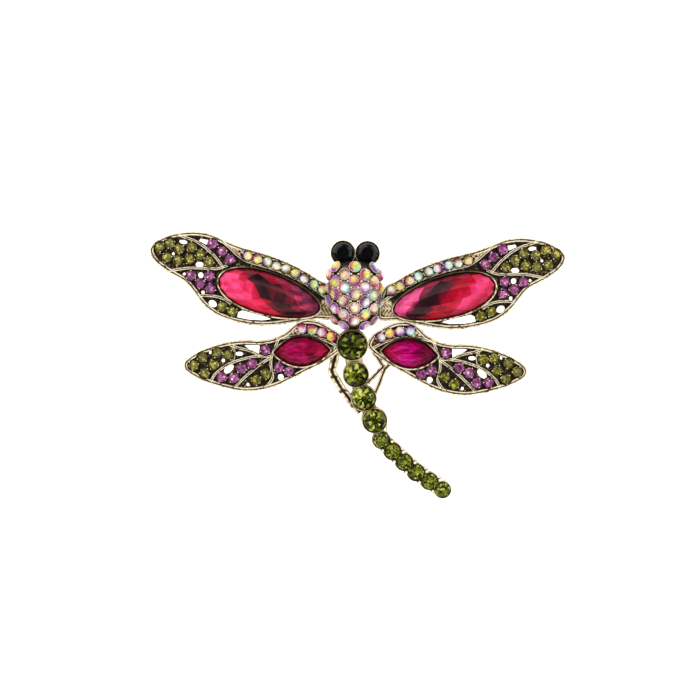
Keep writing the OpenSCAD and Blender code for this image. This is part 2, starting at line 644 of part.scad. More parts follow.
casting();
pin_back();
eye_left();
eye_right();
ruby_left();
ruby_right();
marquise_left();
marquise_right();
thorax_stones();
upper_row_left();
upper_row_right();
lower_row_left();
lower_row_right();
upper_amethysts_left();
upper_amethysts_right();
lower_amethysts_left();
lower_amethysts_right();
upper_olivines_left();
upper_olivines_right();
lower_olivines_left();
lower_olivines_right();
tail_stone_1();
tail_stone_2();
tail_stone_3();
tail_stone_4();
tail_stone_5();
tail_stone_6();
tail_stone_7();
tail_stone_8();
tail_stone_9();
tail_stone_10();
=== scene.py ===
import bmesh
import bpy
import numpy as np
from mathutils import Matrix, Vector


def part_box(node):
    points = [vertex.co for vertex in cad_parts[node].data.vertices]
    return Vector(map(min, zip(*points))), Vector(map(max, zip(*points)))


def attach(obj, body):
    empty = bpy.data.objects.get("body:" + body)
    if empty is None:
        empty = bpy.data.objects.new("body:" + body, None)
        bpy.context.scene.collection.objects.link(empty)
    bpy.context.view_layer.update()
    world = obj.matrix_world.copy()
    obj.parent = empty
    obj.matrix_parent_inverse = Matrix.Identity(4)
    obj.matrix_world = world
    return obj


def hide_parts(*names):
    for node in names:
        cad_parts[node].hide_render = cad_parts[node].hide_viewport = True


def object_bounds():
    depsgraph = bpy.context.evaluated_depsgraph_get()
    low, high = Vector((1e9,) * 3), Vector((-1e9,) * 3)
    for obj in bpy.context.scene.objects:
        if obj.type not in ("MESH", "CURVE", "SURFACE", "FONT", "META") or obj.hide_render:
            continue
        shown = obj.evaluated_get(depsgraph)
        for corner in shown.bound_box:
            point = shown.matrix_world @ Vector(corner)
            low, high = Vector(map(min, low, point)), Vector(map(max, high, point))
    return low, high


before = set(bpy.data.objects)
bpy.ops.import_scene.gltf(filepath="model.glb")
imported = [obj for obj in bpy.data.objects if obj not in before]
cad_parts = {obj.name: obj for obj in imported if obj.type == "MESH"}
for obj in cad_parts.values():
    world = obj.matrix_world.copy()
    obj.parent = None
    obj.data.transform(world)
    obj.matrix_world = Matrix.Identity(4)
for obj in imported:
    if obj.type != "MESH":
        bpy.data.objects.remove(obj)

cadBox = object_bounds()
mm = 0.001
draw = np.random.default_rng(11)
wholeTurn = 6.28  # radians, for random starts

# The brooch's own measures in millimetres, the same as in the part's source, and the step between the
# points of a drawn line.
brooch = {
    "droop": 2.6, "flatHalf": 9, "backHeight": 4.5, "floor": 0.9, "rimHeight": 1.9, "rimOver": 0.06,
    "bodyX": -0.42, "eyeY": 7.15, "stoneFit": 0.1, "step": 0.22,
}
eyeLow, eyeHigh = (np.array(c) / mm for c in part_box("eye_left"))
# What moves the thorax's middle to its place in the frame.
ahead = (eyeLow[1] + eyeHigh[1]) / 2 - brooch["eyeY"]
print("frame loaded, thorax at y", round(float(ahead), 3))


def linear(hexColour):
    # sRGB hex to linear: c/12.92 below 0.04045, else ((c + 0.055) / 1.055) to the power 2.4.
    c = np.array([int(hexColour[i:i + 2], 16) for i in (1, 3, 5)]) / 255
    c = np.where(c < 0.04045, c / 12.92, ((c + 0.055) / 1.055) ** 2.4)
    return (*[float(v) for v in c], 1.0)


def shades(stops, tone):
    # Linear colours, with alpha 1, of the tones between a table's hex stops.
    at = [place for place, colour in stops]
    values = np.array([linear(colour) for place, colour in stops])
    return np.stack([np.interp(tone, at, values[:, k]) for k in range(4)], -1)


def addNode(tree, kind, settings=None, links=None):
    # One node: settings go to its sockets or its own properties, links to its inputs.
    node = tree.nodes.new(kind)
    for name, value in (settings or {}).items():
        if name == "stops":
            while len(node.color_ramp.elements) < len(value):
                node.color_ramp.elements.new(1)
            for stop, (place, colour) in zip(node.color_ramp.elements, value):
                stop.position = place
                stop.color = linear(colour) if isinstance(colour, str) else (colour,) * 3 + (1,)
        elif isinstance(name, int) or name in node.inputs:
            node.inputs[name].default_value = linear(value) if isinstance(value, str) else value
        else:
            setattr(node, name, value)
    for name, source in (links or {}).items():
        tree.links.new(source, node.inputs[name])
    return node


def newMaterial(name):
    # An empty material and its node tree.
    material = bpy.data.materials.new(name)
    material.use_nodes = True
    material.node_tree.nodes.clear()
    return material, material.node_tree


def turns(count):
    # The angles of equal steps round a full turn.
    return np.arange(count) * 2 * np.pi / count


def onCircle(turn, size=2):
    # Points of the unit circle at these angles, with zeros as further coordinates.
    return np.stack([np.cos(turn), np.sin(turn), *[0 * turn] * (size - 2)], -1)


def smoothLine(points, steps, closed=False):
    # Catmull-Rom curve: half of 2b + (c-a)t + (2a-5b+4c-d)tt + (3b-a-3c+d)ttt between b and c.
    p = np.asarray(points, float)
    if closed:
        a, b, c, d = np.roll(p, 1, 0), p, np.roll(p, -1, 0), np.roll(p, -2, 0)
    else:
        q = np.vstack([p[:1], p, p[-1:]])
        a, b, c, d = q[:-3], q[1:-2], q[2:-1], q[3:]
    a, b, c, d = (w[:, None, :] for w in (a, b, c, d))
    t = (np.arange(steps) / steps)[None, :, None]
    line = 0.5 * (2 * b + (c - a) * t + (2 * a - 5 * b + 4 * c - d) * t ** 2
                  + (3 * b - a - 3 * c + d) * t ** 3)
    line = line.reshape(-1, p.shape[1])
    return line if closed else np.vstack([line, p[-1:]])


def evenLine(line, step, closed=False):
    # The same line with its points evenly apart along its length.
    if closed:
        line = np.vstack([line, line[:1]])
    run = np.concatenate([[0], np.cumsum(np.linalg.norm(np.diff(line, axis=0), axis=1))])
    count = max(int(run[-1] / step), 3)
    at = np.linspace(0, run[-1], count + 1)
    line = np.stack([np.interp(at, run, line[:, k]) for k in range(line.shape[1])], 1)
    return line[:-1] if closed else line


def unevenness(count, size, seed, waves=9):
    # Slow hand-made unevenness along a line: a sum of sine waves, from about -size to size.
    r = np.random.default_rng(seed)
    at = np.linspace(0, 2 * np.pi, count, endpoint=False)[:, None]
    beats = r.integers(3, max(int(count / 3), 8), waves)
    return size / np.sqrt(waves) * np.sin(at * beats + r.uniform(0, wholeTurn, waves)).sum(1)


# Hand work on cast metal: what is worn brighter than "bumpFrom" is uneven in height, and what is
# brighter than "toneFrom" in tone too. "together" neighbouring points of a section move as one.
handWork = {"bumpFrom": 0.5, "toneFrom": 0.7, "tone": 0.36, "together": 3}


def gridFaces(rows, cols, closed=False):
    # Four-sided faces between neighbouring rings of points, and from the last to the first if closed.
    i = np.arange(rows if closed else rows - 1)[:, None]
    j = np.arange(cols)[None, :]
    a, b = i * cols + j, i * cols + (j + 1) % cols
    c, d = (i + 1) % rows * cols + (j + 1) % cols, (i + 1) % rows * cols + j
    return np.stack([a, b, c, d], -1).reshape(-1, 4).tolist()


def carry(profile, wear, line, closed=False, seed=0, rough=0.0):
    # A closed profile carried along a line: each point is the line's point, plus the profile's first
    # number level across the line and its second number up.
    profile = np.asarray(profile, float)
    along = np.roll(line, -1, 0) - np.roll(line, 1, 0) if closed else np.gradient(line, axis=0)
    across = np.cross([0, 0, 1], along)
    across /= np.linalg.norm(across, axis=1, keepdims=True)
    m, k = len(line), profile.shape[-2]
    p = np.broadcast_to(profile, (m, k, 2)).copy()
    wear = np.broadcast_to(wear, (m, k)).copy()
    if rough:
        bump = np.stack([unevenness(m, rough, seed + j // handWork["together"]) for j in range(k)], 1)
        p[..., 1] += bump * (wear > handWork["bumpFrom"])
        wear = wear + bump / rough * handWork["tone"] * (wear > handWork["toneFrom"])
    verts = line[:, None, :] + p[..., :1] * across[:, None, :] + p[..., 1:] * [0, 0, 1]
    faces = gridFaces(m, k, closed)
    if not closed:
        faces += [list(range(k))[::-1], list(range((m - 1) * k, m * k))]
    return verts.reshape(-1, 3), faces, wear.reshape(-1)


def lathe(profile, wear, sides):
    # A profile of [radius, height] turned about Z. It starts and ends on the axis.
    profile = np.asarray(profile, float)
    radius, height = profile[1:-1, :1], profile[1:-1, 1:]
    turn = turns(sides)
    verts = np.stack([radius * np.cos(turn), radius * np.sin(turn), height + 0 * turn], -1).reshape(-1, 3)
    first, last, end = len(verts), len(verts) + 1, (len(radius) - 1) * sides
    fans = [[first, (q + 1) % sides, q] for q in range(sides)] \
        + [[last, end + q, end + (q + 1) % sides] for q in range(sides)]
    verts = np.vstack([verts, [[0, 0, profile[0, 1]], [0, 0, profile[-1, 1]]]])
    wear = np.concatenate([np.repeat(wear[1:-1], sides), [wear[0], wear[-1]]])
    return verts, gridFaces(len(radius), sides) + fans, wear


def ringOf(profile, wear, sides):
    # A closed profile of [radius, height] turned about Z: carried along a circle of almost no size.
    line = onCircle(turns(sides), 3) * 1e-6
    return carry(np.asarray(profile, float) * [-1, 1], wear, line, closed=True)


def stamp(shape, centres, frames, scale=(1, 1, 1)):
    # Copies of one shape: each is scaled, turned by its frame or by the only one, and moved to its centre.
    verts, faces, wear = shape
    out = np.einsum("sij,vj->svi", frames, verts * scale) + centres[:, None, :]
    every = [[v + s * len(verts) for v in f] for s in range(len(centres)) for f in faces]
    return out.reshape(-1, 3), every, np.tile(wear, len(centres))


def framesFor(up):
    # A frame for each upward direction, with its first axis level across the brooch.
    up = up / np.linalg.norm(up, axis=1, keepdims=True)
    side = np.array([1, 0, 0]) - up[:, :1] * up
    side /= np.linalg.norm(side, axis=1, keepdims=True)
    return np.stack([side, np.cross(up, side), up], 2)


def mirrored(shape):
    # The same shape on the left: x changes sign and the faces turn round.
    verts, faces, wear = shape
    return verts * [-1, 1, 1], [f[::-1] for f in faces], wear


def joined(shapes):
    # Several shapes as one.
    verts, faces, wear, base = [], [], [], 0
    for v, f, w in shapes:
        verts.append(v)
        faces += [[q + base for q in face] for face in f]
        wear.append(w)
        base += len(v)
    return np.vstack(verts), faces, np.concatenate(wear)


def meshOf(name, verts, faces):
    # A mesh in metres, kept within the CAD box, which a few corners would pass by some hundredths of
    # a millimetre.
    mesh = bpy.data.meshes.new(name)
    mesh.from_pydata(np.clip(np.asarray(verts) * mm, *cadBox).tolist(), [], faces)
    return mesh


def mount(name, mesh, material, replaced):
    # Puts a mesh in the scene in its material, and lets it ride on the body.
    mesh.materials.append(material)
    piece = bpy.data.objects.new(name, mesh)
    bpy.context.scene.collection.objects.link(piece)
    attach(piece, "root")
    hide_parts(*replaced)
    print(name, len(mesh.polygons), "faces")


sharpAngle = 40  # degrees between faces, past which an edge of the metal stays sharp


def addMetal(name, shape):
    # A shape of the casting, with its faces turned outwards.
    verts, faces, wear = shape
    mesh = meshOf(name, verts, faces)
    loose = bmesh.new()
    loose.from_mesh(mesh)
    bmesh.ops.recalc_face_normals(loose, faces=loose.faces)
    loose.to_mesh(mesh)
    loose.free()
    mesh.attributes.new("wear", "FLOAT", "POINT").data.foreach_set(
        "value", np.clip(wear, 0, 1).astype(np.float32))
    mesh.shade_smooth()
    mesh.set_sharp_from_angle(angle=np.radians(sharpAngle))
    mount(name, mesh, antiqueBrass, ["casting"])


# Antiqued brass: cast metal plated in pale gold, stained dark and rubbed back, so that what stands
# up is bright and what lies low is nearly black.
brass = {
    "stops": [(0.0, "#0C0702"), (0.25, "#261B0A"), (0.44, "#7E6946"), (0.55, "#C2AE86"),
              (0.7, "#F2E4C2"), (1.0, "#FFF8E4")],
    "grainMm": 0.28, "blotchMm": 1.6, "grain": 0.5, "blotch": 1.15, "roughLow": 0.6, "roughHigh": 0.54,
    "metalLow": 0.45, "metalHigh": 0.86, "metalFrom": 0.45, "bump": 0.35, "bumpMm": 0.06,
}


def makeBrass(name, s):
    # The level is the wear times the sum of 1, the grain and the blotches, both taken about their middle
    # of 0.5. It sets the colour, the roughness and how metallic the surface is.
    material, tree = newMaterial(name)
    where = addNode(tree, "ShaderNodeTexCoord").outputs["Object"]
    wear = addNode(tree, "ShaderNodeAttribute", {"attribute_name": "wear"}).outputs["Fac"]
    grain = addNode(tree, "ShaderNodeTexNoise", {"Scale": 1000 / s["grainMm"], "Detail": 3.0},
                    {"Vector": where}).outputs["Fac"]
    blotch = addNode(tree, "ShaderNodeTexNoise", {"Scale": 1000 / s["blotchMm"], "Detail": 2.0},
                     {"Vector": where}).outputs["Fac"]
    stain = addNode(tree, "ShaderNodeMath",
                    {"operation": "MULTIPLY_ADD", 1: s["grain"], 2: 1 - s["grain"] / 2}, {0: grain})
    both = addNode(tree, "ShaderNodeMath", {"operation": "MULTIPLY_ADD", 1: s["blotch"]},
                   {0: blotch, 2: stain.outputs[0]})
    part = addNode(tree, "ShaderNodeMath", {"operation": "SUBTRACT", 1: s["blotch"] / 2},
                   {0: both.outputs[0]})
    level = addNode(tree, "ShaderNodeMath", {"operation": "MULTIPLY", "use_clamp": True},
                    {0: wear, 1: part.outputs[0]}).outputs[0]
    colour = addNode(tree, "ShaderNodeValToRGB", {"stops": s["stops"]}, {"Fac": level})
    rough = addNode(tree, "ShaderNodeMapRange", {"To Min": s["roughLow"], "To Max": s["roughHigh"]},
                    {"Value": level})
    metal = addNode(tree, "ShaderNodeMapRange",
                    {"From Max": s["metalFrom"], "To Min": s["metalLow"], "To Max": s["metalHigh"]},
                    {"Value": level})
    bump = addNode(tree, "ShaderNodeBump", {"Strength": s["bump"], "Distance": s["bumpMm"] * mm},
                   {"Height": grain})
    shader = addNode(tree, "ShaderNodeBsdfPrincipled", {},
                     {"Base Color": colour.outputs["Color"], "Roughness": rough.outputs["Result"],
                      "Metallic": metal.outputs["Result"], "Normal": bump.outputs["Normal"]})
    addNode(tree, "ShaderNodeOutputMaterial", {}, {"Surface": shader.outputs[0]})
    return material


# Foil-backed cut glass: the facets differ in tone by painted reflection, each tone standing in for the
# part of the foil that the facet mirrors. Each facet's colour, its glass colour and painted reflection
# together, comes from these stops by its tone, and is kept in the mesh as a corner attribute.
glasses = {
    "rubyGlass": {
        "stops": [(0.0, "#160A0E"), (0.2, "#38121A"), (0.38, "#7A0E22"), (0.54, "#B80A28"),
                  (0.76, "#F02458"), (1.0, "#FF4A84")],
        "other": [(0.0, "#20121A"), (0.3, "#54203A"), (0.55, "#8A2A50"), (0.85, "#E84684"),
                  (1.0, "#FF6AA8")],
        "rough": 0.2, "gloss": 0.2, "slot": "ruby"},
    "fuchsiaGlass": {
        "stops": [(0.0, "#2A0616"), (0.25, "#5E082C"), (0.5, "#960244"), (0.75, "#D0047C"),
                  (1.0, "#F01CA4")],
        "other": [(0.0, "#2A0A10"), (0.5, "#A00C2E"), (1.0, "#E0244A")],
        "drawn": (0.3, 1.3, 1), "dark": 0.35, "rough": 0.2, "gloss": 0.12, "slot": "fuchsia"},
    "amethystGlass": {
        "stops": [(0.0, "#240C1C"), (0.3, "#541C46"), (0.55, "#843070"), (0.8, "#B8609A"),
                  (1.0, "#F2BEDC")], "rough": 0.12, "slot": "amethyst"},
    "olivineGlass": {
        "stops": [(0.0, "#181606"), (0.3, "#3C380A"), (0.58, "#665E0C"), (0.82, "#98901C"),
                  (1.0, "#D4CC54")], "rough": 0.12, "slot": "olivine"},
    "peridotGlass": {
        "stops": [(0.0, "#0E1006"), (0.28, "#2E340A"), (0.52, "#5A6210"), (0.76, "#989E28"),
                  (1.0, "#DCE07A")], "rough": 0.12, "gloss": 0.2, "slot": "peridot"},
    "paleAuroraGlass": {
        "cores": ["#F8F27A", "#FFFEF6", "#F6FAE0", "#FFFBEE", "#F6F090", "#FAF4A8", "#DCF6F2", "#FCEAA8"],
        "deeps": ["#8E2C66", "#5E3A8E", "#2E5E5C", "#9C3A40", "#6E6016", "#84306A"],
        "pales": ["#D890CC", "#7CD4B4", "#ECC4A0", "#E4B838", "#E0CC70"], "rough": 0.1, "slot": "aurora"},
    "auroraGlass": {
        "cores": ["#F8EE60", "#F6E850", "#FAE8B0", "#FCF8EA", "#F8ECEC", "#FAF0B8", "#E0F6EC", "#F8DC7C"],
        "deeps": ["#AE2464", "#84409E", "#78224E", "#C03A62", "#9048AC", "#9C3080"],
        "pales": ["#E8A0CC", "#C49AE0", "#70DCD0", "#F4C48C", "#E46CB0"], "rough": 0.1, "slot": "aurora"},
    "jetGlass": {
        "stops": [(0.0, "#040404"), (0.5, "#101010"), (1.0, "#2C2C2C")], "rough": 0.1, "gloss": 0.36,
        "slot": "jet"},
}
# What all the glass shares: faint streaks inside it, and how it mirrors.
glassBody = {"streakMm": 0.5, "dark": 0.82, "drawn": (1, 1, 1), "metallic": 0.12, "ior": 1.5, "gloss": 0.5}


def makeGlass(name, s):
    # The facets' tints, their own colour with painted reflection, times faint streaks that are drawn out
    # along some stones.
    s = {**glassBody, **s}
    material, tree = newMaterial(name)
    where = addNode(tree, "ShaderNodeTexCoord").outputs["Object"]
    tint = addNode(tree, "ShaderNodeAttribute", {"attribute_name": "tint"}).outputs["Color"]
    drawn = addNode(tree, "ShaderNodeMapping", {"Scale": s["drawn"]}, {"Vector": where})
    streak = addNode(tree, "ShaderNodeTexNoise", {"Scale": 1000 / s["streakMm"], "Detail": 2.0},
                     {"Vector": drawn.outputs[0]}).outputs["Fac"]
    cloudy = addNode(tree, "ShaderNodeValToRGB", {"stops": [(0.3, s["dark"]), (0.6, 1.0)]},
                     {"Fac": streak}).outputs["Color"]
    # Inputs 6 and 7 of the mix are its two colours, and output 2 is their product.
    colour = addNode(tree, "ShaderNodeMix",
                     {"data_type": "RGBA", "blend_type": "MULTIPLY", "Factor": 1.0},
                     {6: tint, 7: cloudy}).outputs[2]
    shader = addNode(tree, "ShaderNodeBsdfPrincipled",
                     {"Roughness": s["rough"], "Metallic": s["metallic"], "IOR": s["ior"],
                      "Specular IOR Level": s["gloss"]}, {"Base Color": colour})
    addNode(tree, "ShaderNodeOutputMaterial", {}, {"Surface": shader.outputs[0]})
    return material


# Brushed nickel steel: a clean grey metal with fine lines along the pin.
steel = {"lineMm": 0.12, "drawn": (0.04, 1, 1), "roughLow": 0.24, "roughHigh": 0.46, "bump": 0.2,
    "bumpMm": 0.02, "stops": [(0.0, "#77787A"), (0.5, "#A9AAAB"), (1.0, "#D6D6D4")]}


def makeSteel(name, s):
    # Noise drawn out along X gives the lines, which set the colour, the roughness and the bumps.
    material, tree = newMaterial(name)
    where = addNode(tree, "ShaderNodeTexCoord").outputs["Object"]
    drawn = addNode(tree, "ShaderNodeMapping", {"Scale": s["drawn"]}, {"Vector": where})
    lines = addNode(tree, "ShaderNodeTexNoise", {"Scale": 1000 / s["lineMm"], "Detail": 2.0},
                    {"Vector": drawn.outputs[0]}).outputs["Fac"]
    colour = addNode(tree, "ShaderNodeValToRGB", {"stops": s["stops"]}, {"Fac": lines})
    rough = addNode(tree, "ShaderNodeMapRange", {"To Min": s["roughLow"], "To Max": s["roughHigh"]},
                    {"Value": lines})
    bump = addNode(tree, "ShaderNodeBump", {"Strength": s["bump"], "Distance": s["bumpMm"] * mm},
                   {"Height": lines})
    shader = addNode(tree, "ShaderNodeBsdfPrincipled", {"Metallic": 1.0},
                     {"Base Color": colour.outputs["Color"], "Roughness": rough.outputs["Result"],
                      "Normal": bump.outputs["Normal"]})
    addNode(tree, "ShaderNodeOutputMaterial", {}, {"Surface": shader.outputs[0]})
    return material


antiqueBrass = makeBrass("antiqueBrass", brass)
glass = {name: makeGlass(name, s) for name, s in glasses.items()}
pinSteel = makeSteel("brushedNickelSteel", steel)
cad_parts["pin_back"].data.materials.clear()
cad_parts["pin_back"].data.materials.append(pinSteel)
print("materials made")


girdleFrom = 0.97  # of a stone's widest reach: the corners beyond this are the girdle's


def stonesOf(node):
    # Middle, frame and radius of each loose stone of a CAD node. Touching triangles share a label, the
    # axis is the direction in which a stone's corners spread least, and the girdle is its widest ring.
    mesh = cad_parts[node].data
    co = np.empty(len(mesh.vertices) * 3)
    mesh.vertices.foreach_get("co", co)
    corners = np.empty(len(mesh.loops), int)
    mesh.loops.foreach_get("vertex_index", corners)
    places, same = np.unique(np.round(co.reshape(-1, 3) / mm, 3), axis=0, return_inverse=True)
    tri = same.reshape(-1)[corners].reshape(-1, 3)
    label = np.arange(len(places))
    while True:
        new = label.copy()
        np.minimum.at(new, tri.ravel(), np.repeat(label[tri].min(1), 3))
        new = new[new]
        if (new == label).all():
            break
        label = new
    centres, axes, radii = [], [], []
    for stone in np.unique(label):
        p = places[label == stone]
        middle = p.mean(0)
        up = np.linalg.eigh(np.cov((p - middle).T))[1][:, 0]
        up = up * (1 if up[2] > 0 else -1)
        height = (p - middle) @ up
        reach = np.linalg.norm(p - middle - height[:, None] * up, axis=1)
        girdle = height[reach > girdleFrom * reach.max()].mean()
        centres.append(middle + girdle * up)
        axes.append(up)
        radii.append(reach.max())
    return np.array(centres), framesFor(np.array(axes)), np.array(radii)


# Heights of a round stone below and above its girdle, in radii, and how far it fills the play in its
# seat, in millimetres: a little, or tightly, as stones pressed home do.
roundCut = {"pavilion": 0.64, "crown": 0.4, "fill": 0.05, "tight": 0.09}


def ringCut(rings, sides, across=False):
    # Corners (turn, share of the radius, share of the height) and facets of a cut stone. Ring k is
    # turned half a facet from the ring before it. The table is a fan, or strips across a long stone.
    k = np.arange(len(rings))[:, None]
    turn = (np.arange(sides)[None, :] + k / 2) * 2 * np.pi / sides
    share = np.array(rings)[:, :1]
    corners = np.stack([turn + 0 * share, share + 0 * turn, np.array(rings)[:, 1:] + 0 * turn], -1)
    corners = np.vstack([corners.reshape(-1, 3), [[0, 0, 1], [0, 0, -1]]])
    middle, culet = len(corners) - 2, len(corners) - 1
    facets, level = [], []
    for q in range(sides):
        n = (q + 1) % sides
        if not across:
            facets.append([middle, q, n])
            level.append(0)
        for r in range(len(rings) - 1):
            a, b = r * sides, (r + 1) * sides
            facets += [[a + q, b + q, a + n], [a + n, b + q, b + n]]
            level += [2 * r + 1, 2 * r + 2]
        last = (len(rings) - 1) * sides
        facets.append([last + n, last + q, culet])
        level.append(2 * len(rings))
    if across:
        for q in range(sides // 2):
            strip = [q, q + 1, (sides - q - 1) % sides, (sides - q) % sides]
            facets += [f for f in ([strip[0], strip[1], strip[2]], [strip[0], strip[2], strip[3]])
                       if len(set(f)) == 3]
            level += [0] * (2 if len(set(strip)) == 4 else 1)
    return corners, np.array(facets), np.array(level)


def addStones(node, kind, corners, facets, tints):
    # corners is (stones, corners, 3) in millimetres and tints (stones, facets, 3, 4), a colour for each
    # corner of each facet.
    start = np.arange(len(corners)) * corners.shape[1]
    every = (facets[None] + start[:, None, None]).reshape(-1, 3)
    mesh = meshOf(f"{node}_cut", corners.reshape(-1, 3), every.tolist())
    mesh.attributes.new("tint", "FLOAT_COLOR", "CORNER").data.foreach_set(
        "color", np.clip(tints, 0, 1).astype(np.float32).ravel())
    mount(f"{node}_cut", mesh, glass[kind], [node])


def roundStones(node, kind, rings, sides, rule, fill):
    # Round stones in the places of the CAD's own: x and y in radii, z in crown or pavilion heights.
    centres, frames, radii = stonesOf(node)
    corners, facets, level = ringCut(rings, sides)
    start = draw.uniform(0, wholeTurn, len(centres))[:, None]
    turn, share, height = (corners[None, :, k] for k in range(3))
    rise = np.where(height > 0, roundCut["crown"], roundCut["pavilion"]) * height
    shape = np.stack([share * np.cos(turn + start), share * np.sin(turn + start), rise + 0 * start], -1)
    placed = shape * (radii + fill)[:, None, None]
    placed = np.einsum("sij,svj->svi", frames, placed) + centres[:, None, :]
    addStones(node, kind, placed, facets, rule(glasses[kind], shape, facets, level))


# The wings, sized in millimetres by "reach" and "depth". "low" is how far their share 0 along lies from
# the thorax's middle. Outlines, veins and gaps are shares of reach and depth, as in the part's source. An
# oval opening is its share across and along, its length and width in millimetres, and its turn in degrees.
wings = {
    "upper": {"reach": 36, "depth": 16, "low": -5.6,
        "outline": [[0.1, 0.1], [0.12, 0.4], [0.2, 0.53], [0.3, 0.655], [0.42, 0.76], [0.55, 0.84],
            [0.64, 0.915], [0.71, 0.98], [0.8, 1], [0.9, 0.965], [0.97, 0.885], [1, 0.79], [0.97, 0.66],
            [0.895, 0.54], [0.825, 0.45], [0.785, 0.35], [0.74, 0.22], [0.665, 0.095], [0.55, 0.015],
            [0.43, -0.005], [0.3, 0.035], [0.2, 0.075]],
        "veins": [
            [[0.12, 0.27], [0.2, 0.4], [0.26, 0.475], [0.32, 0.54], [0.39, 0.6], [0.46, 0.645],
                [0.52, 0.68], [0.57, 0.745], [0.61, 0.825], [0.66, 0.92]],
            [[0.64, 0.61], [0.67, 0.7], [0.7, 0.77], [0.74, 0.845], [0.785, 0.9], [0.83, 0.935],
                [0.87, 0.97]],
            [[0.62, 0.64], [0.66, 0.605], [0.7, 0.6], [0.76, 0.605], [0.82, 0.6], [0.9, 0.57]],
            [[0.6, 0.22], [0.635, 0.275], [0.68, 0.305], [0.73, 0.31], [0.775, 0.295]]],
        "gaps": [
            [[0.71, 0.905], [0.755, 0.925], [0.762, 0.9], [0.725, 0.86]],
            [[0.405, 0.07], [0.45, 0.105], [0.5, 0.13], [0.545, 0.158], [0.565, 0.14], [0.572, 0.085],
                [0.52, 0.062], [0.45, 0.055]]],
        "ovals": [[0.838, 0.885, 1.4, 0.7, 10], [0.885, 0.757, 0.5, 0.5, 0], [0.757, 0.645, 1.4, 0.9, 0],
            [0.75, 0.53, 1, 0.9, 60], [0.83, 0.54, 0.5, 0.5, 0], [0.738, 0.345, 0.6, 0.6, 0],
            [0.69, 0.225, 1.5, 1.1, 30]]},
    "lower": {"reach": 29.7, "depth": 12.7, "low": -16.4,
        "outline": [[0.07, 0.58], [0.09, 0.745], [0.15, 0.84], [0.22, 0.925], [0.3, 0.94],
            [0.36, 0.87], [0.41, 0.765], [0.47, 0.69], [0.55, 0.65], [0.65, 0.65], [0.75, 0.62],
            [0.84, 0.556], [0.92, 0.476], [0.98, 0.38], [1, 0.29], [0.975, 0.19], [0.88, 0.075],
            [0.77, -0.002], [0.66, -0.052], [0.56, -0.04], [0.46, 0.022], [0.36, 0.137], [0.26, 0.265],
            [0.16, 0.4]],
        "veins": [
            [[0.1, 0.57], [0.14, 0.625], [0.19, 0.675], [0.25, 0.715], [0.31, 0.725], [0.38, 0.71],
                [0.46, 0.66]],
            [[0.45, 0.67], [0.465, 0.56], [0.485, 0.46], [0.49, 0.33], [0.483, 0.22], [0.48, 0.13],
                [0.52, 0]],
            [[0.49, 0.42], [0.545, 0.335], [0.585, 0.26], [0.62, 0.185], [0.655, 0.11], [0.7, 0]],
            [[0.48, 0.43], [0.55, 0.435], [0.62, 0.41], [0.68, 0.37], [0.73, 0.32], [0.775, 0.255],
                [0.81, 0.18], [0.845, 0.06]],
            [[0.55, 0.43], [0.59, 0.485], [0.64, 0.52], [0.69, 0.545], [0.75, 0.6]],
            [[0.715, 0.56], [0.703, 0.47], [0.712, 0.36]]],
        "gaps": [[[0.558, 0.58], [0.65, 0.58], [0.62, 0.53], [0.59, 0.48], [0.562, 0.455]]],
        "ovals": [[0.675, 0.46, 1.3, 0.7, 0], [0.735, 0.25, 2, 1.1, -42], [0.768, 0.365, 0.6, 0.6, 0],
            [0.845, 0.475, 0.4, 0.7, 10], [0.432, 0.155, 1, 1, 0], [0.622, 0.045, 0.5, 0.6, 0]]}}


def inWing(name, points):
    # Shares of a wing's reach and depth to millimetres.
    wing = wings[name]
    return np.array(points, float)[..., :2] * [wing["reach"], wing["depth"]] + [0, wing["low"] + ahead]


for name, wing in wings.items():
    outline = smoothLine(inWing(name, wing["outline"]), steps=24, closed=True)
    wing["edge"] = evenLine(outline, brooch["step"], True)
backFall = brooch["droop"] / (wings["upper"]["reach"] - brooch["flatHalf"]) ** 2


def backAt(x):
    # Height of the wings' back: flat in the middle, then falling with the square of the distance.
    return brooch["backHeight"] - backFall * np.maximum(np.abs(x) - brooch["flatHalf"], 0) ** 2


def onBack(line):
    # The line lifted onto the wings' back.
    return np.column_stack([line, backAt(line[:, 0])])


def edgeField(edge, x, y):
    # Distance from each point to a closed line: negative inside it, where a ray crosses it an odd
    # number of times.
    best, inside = np.full(x.shape, np.inf), np.zeros(x.shape, bool)
    for (ax, ay), (bx, by) in zip(edge, np.roll(edge, -1, 0)):
        dx, dy = bx - ax, by - ay
        t = np.clip(((x - ax) * dx + (y - ay) * dy) / (dx * dx + dy * dy), 0, 1)
        best = np.minimum(best, (x - ax - t * dx) ** 2 + (y - ay - t * dy) ** 2)
        crosses = (ay > y) != (by > y)
        inside ^= crosses & (x < ax + (y - ay) * dx / np.where(dy == 0, 1e-9, dy))
    return np.sqrt(best) * np.where(inside, -1, 1)


def ovalField(oval, middle, x, y):
    # About the distance to an oval: its radius share less one, times its smaller radius.
    long, wide = oval[2] / 2, oval[3] / 2
    turn = np.radians(oval[4])
    u = (x - middle[0]) * np.cos(turn) + (y - middle[1]) * np.sin(turn)
    v = -(x - middle[0]) * np.sin(turn) + (y - middle[1]) * np.cos(turn)
    return (np.hypot(u / long, v / wide) - 1) * min(long, wide)


# How a plate's edge is drawn: how far a corner may slide, in cells, and the least square of a slope.
plateEdge = {"slide": 0.7, "slope": 0.25}


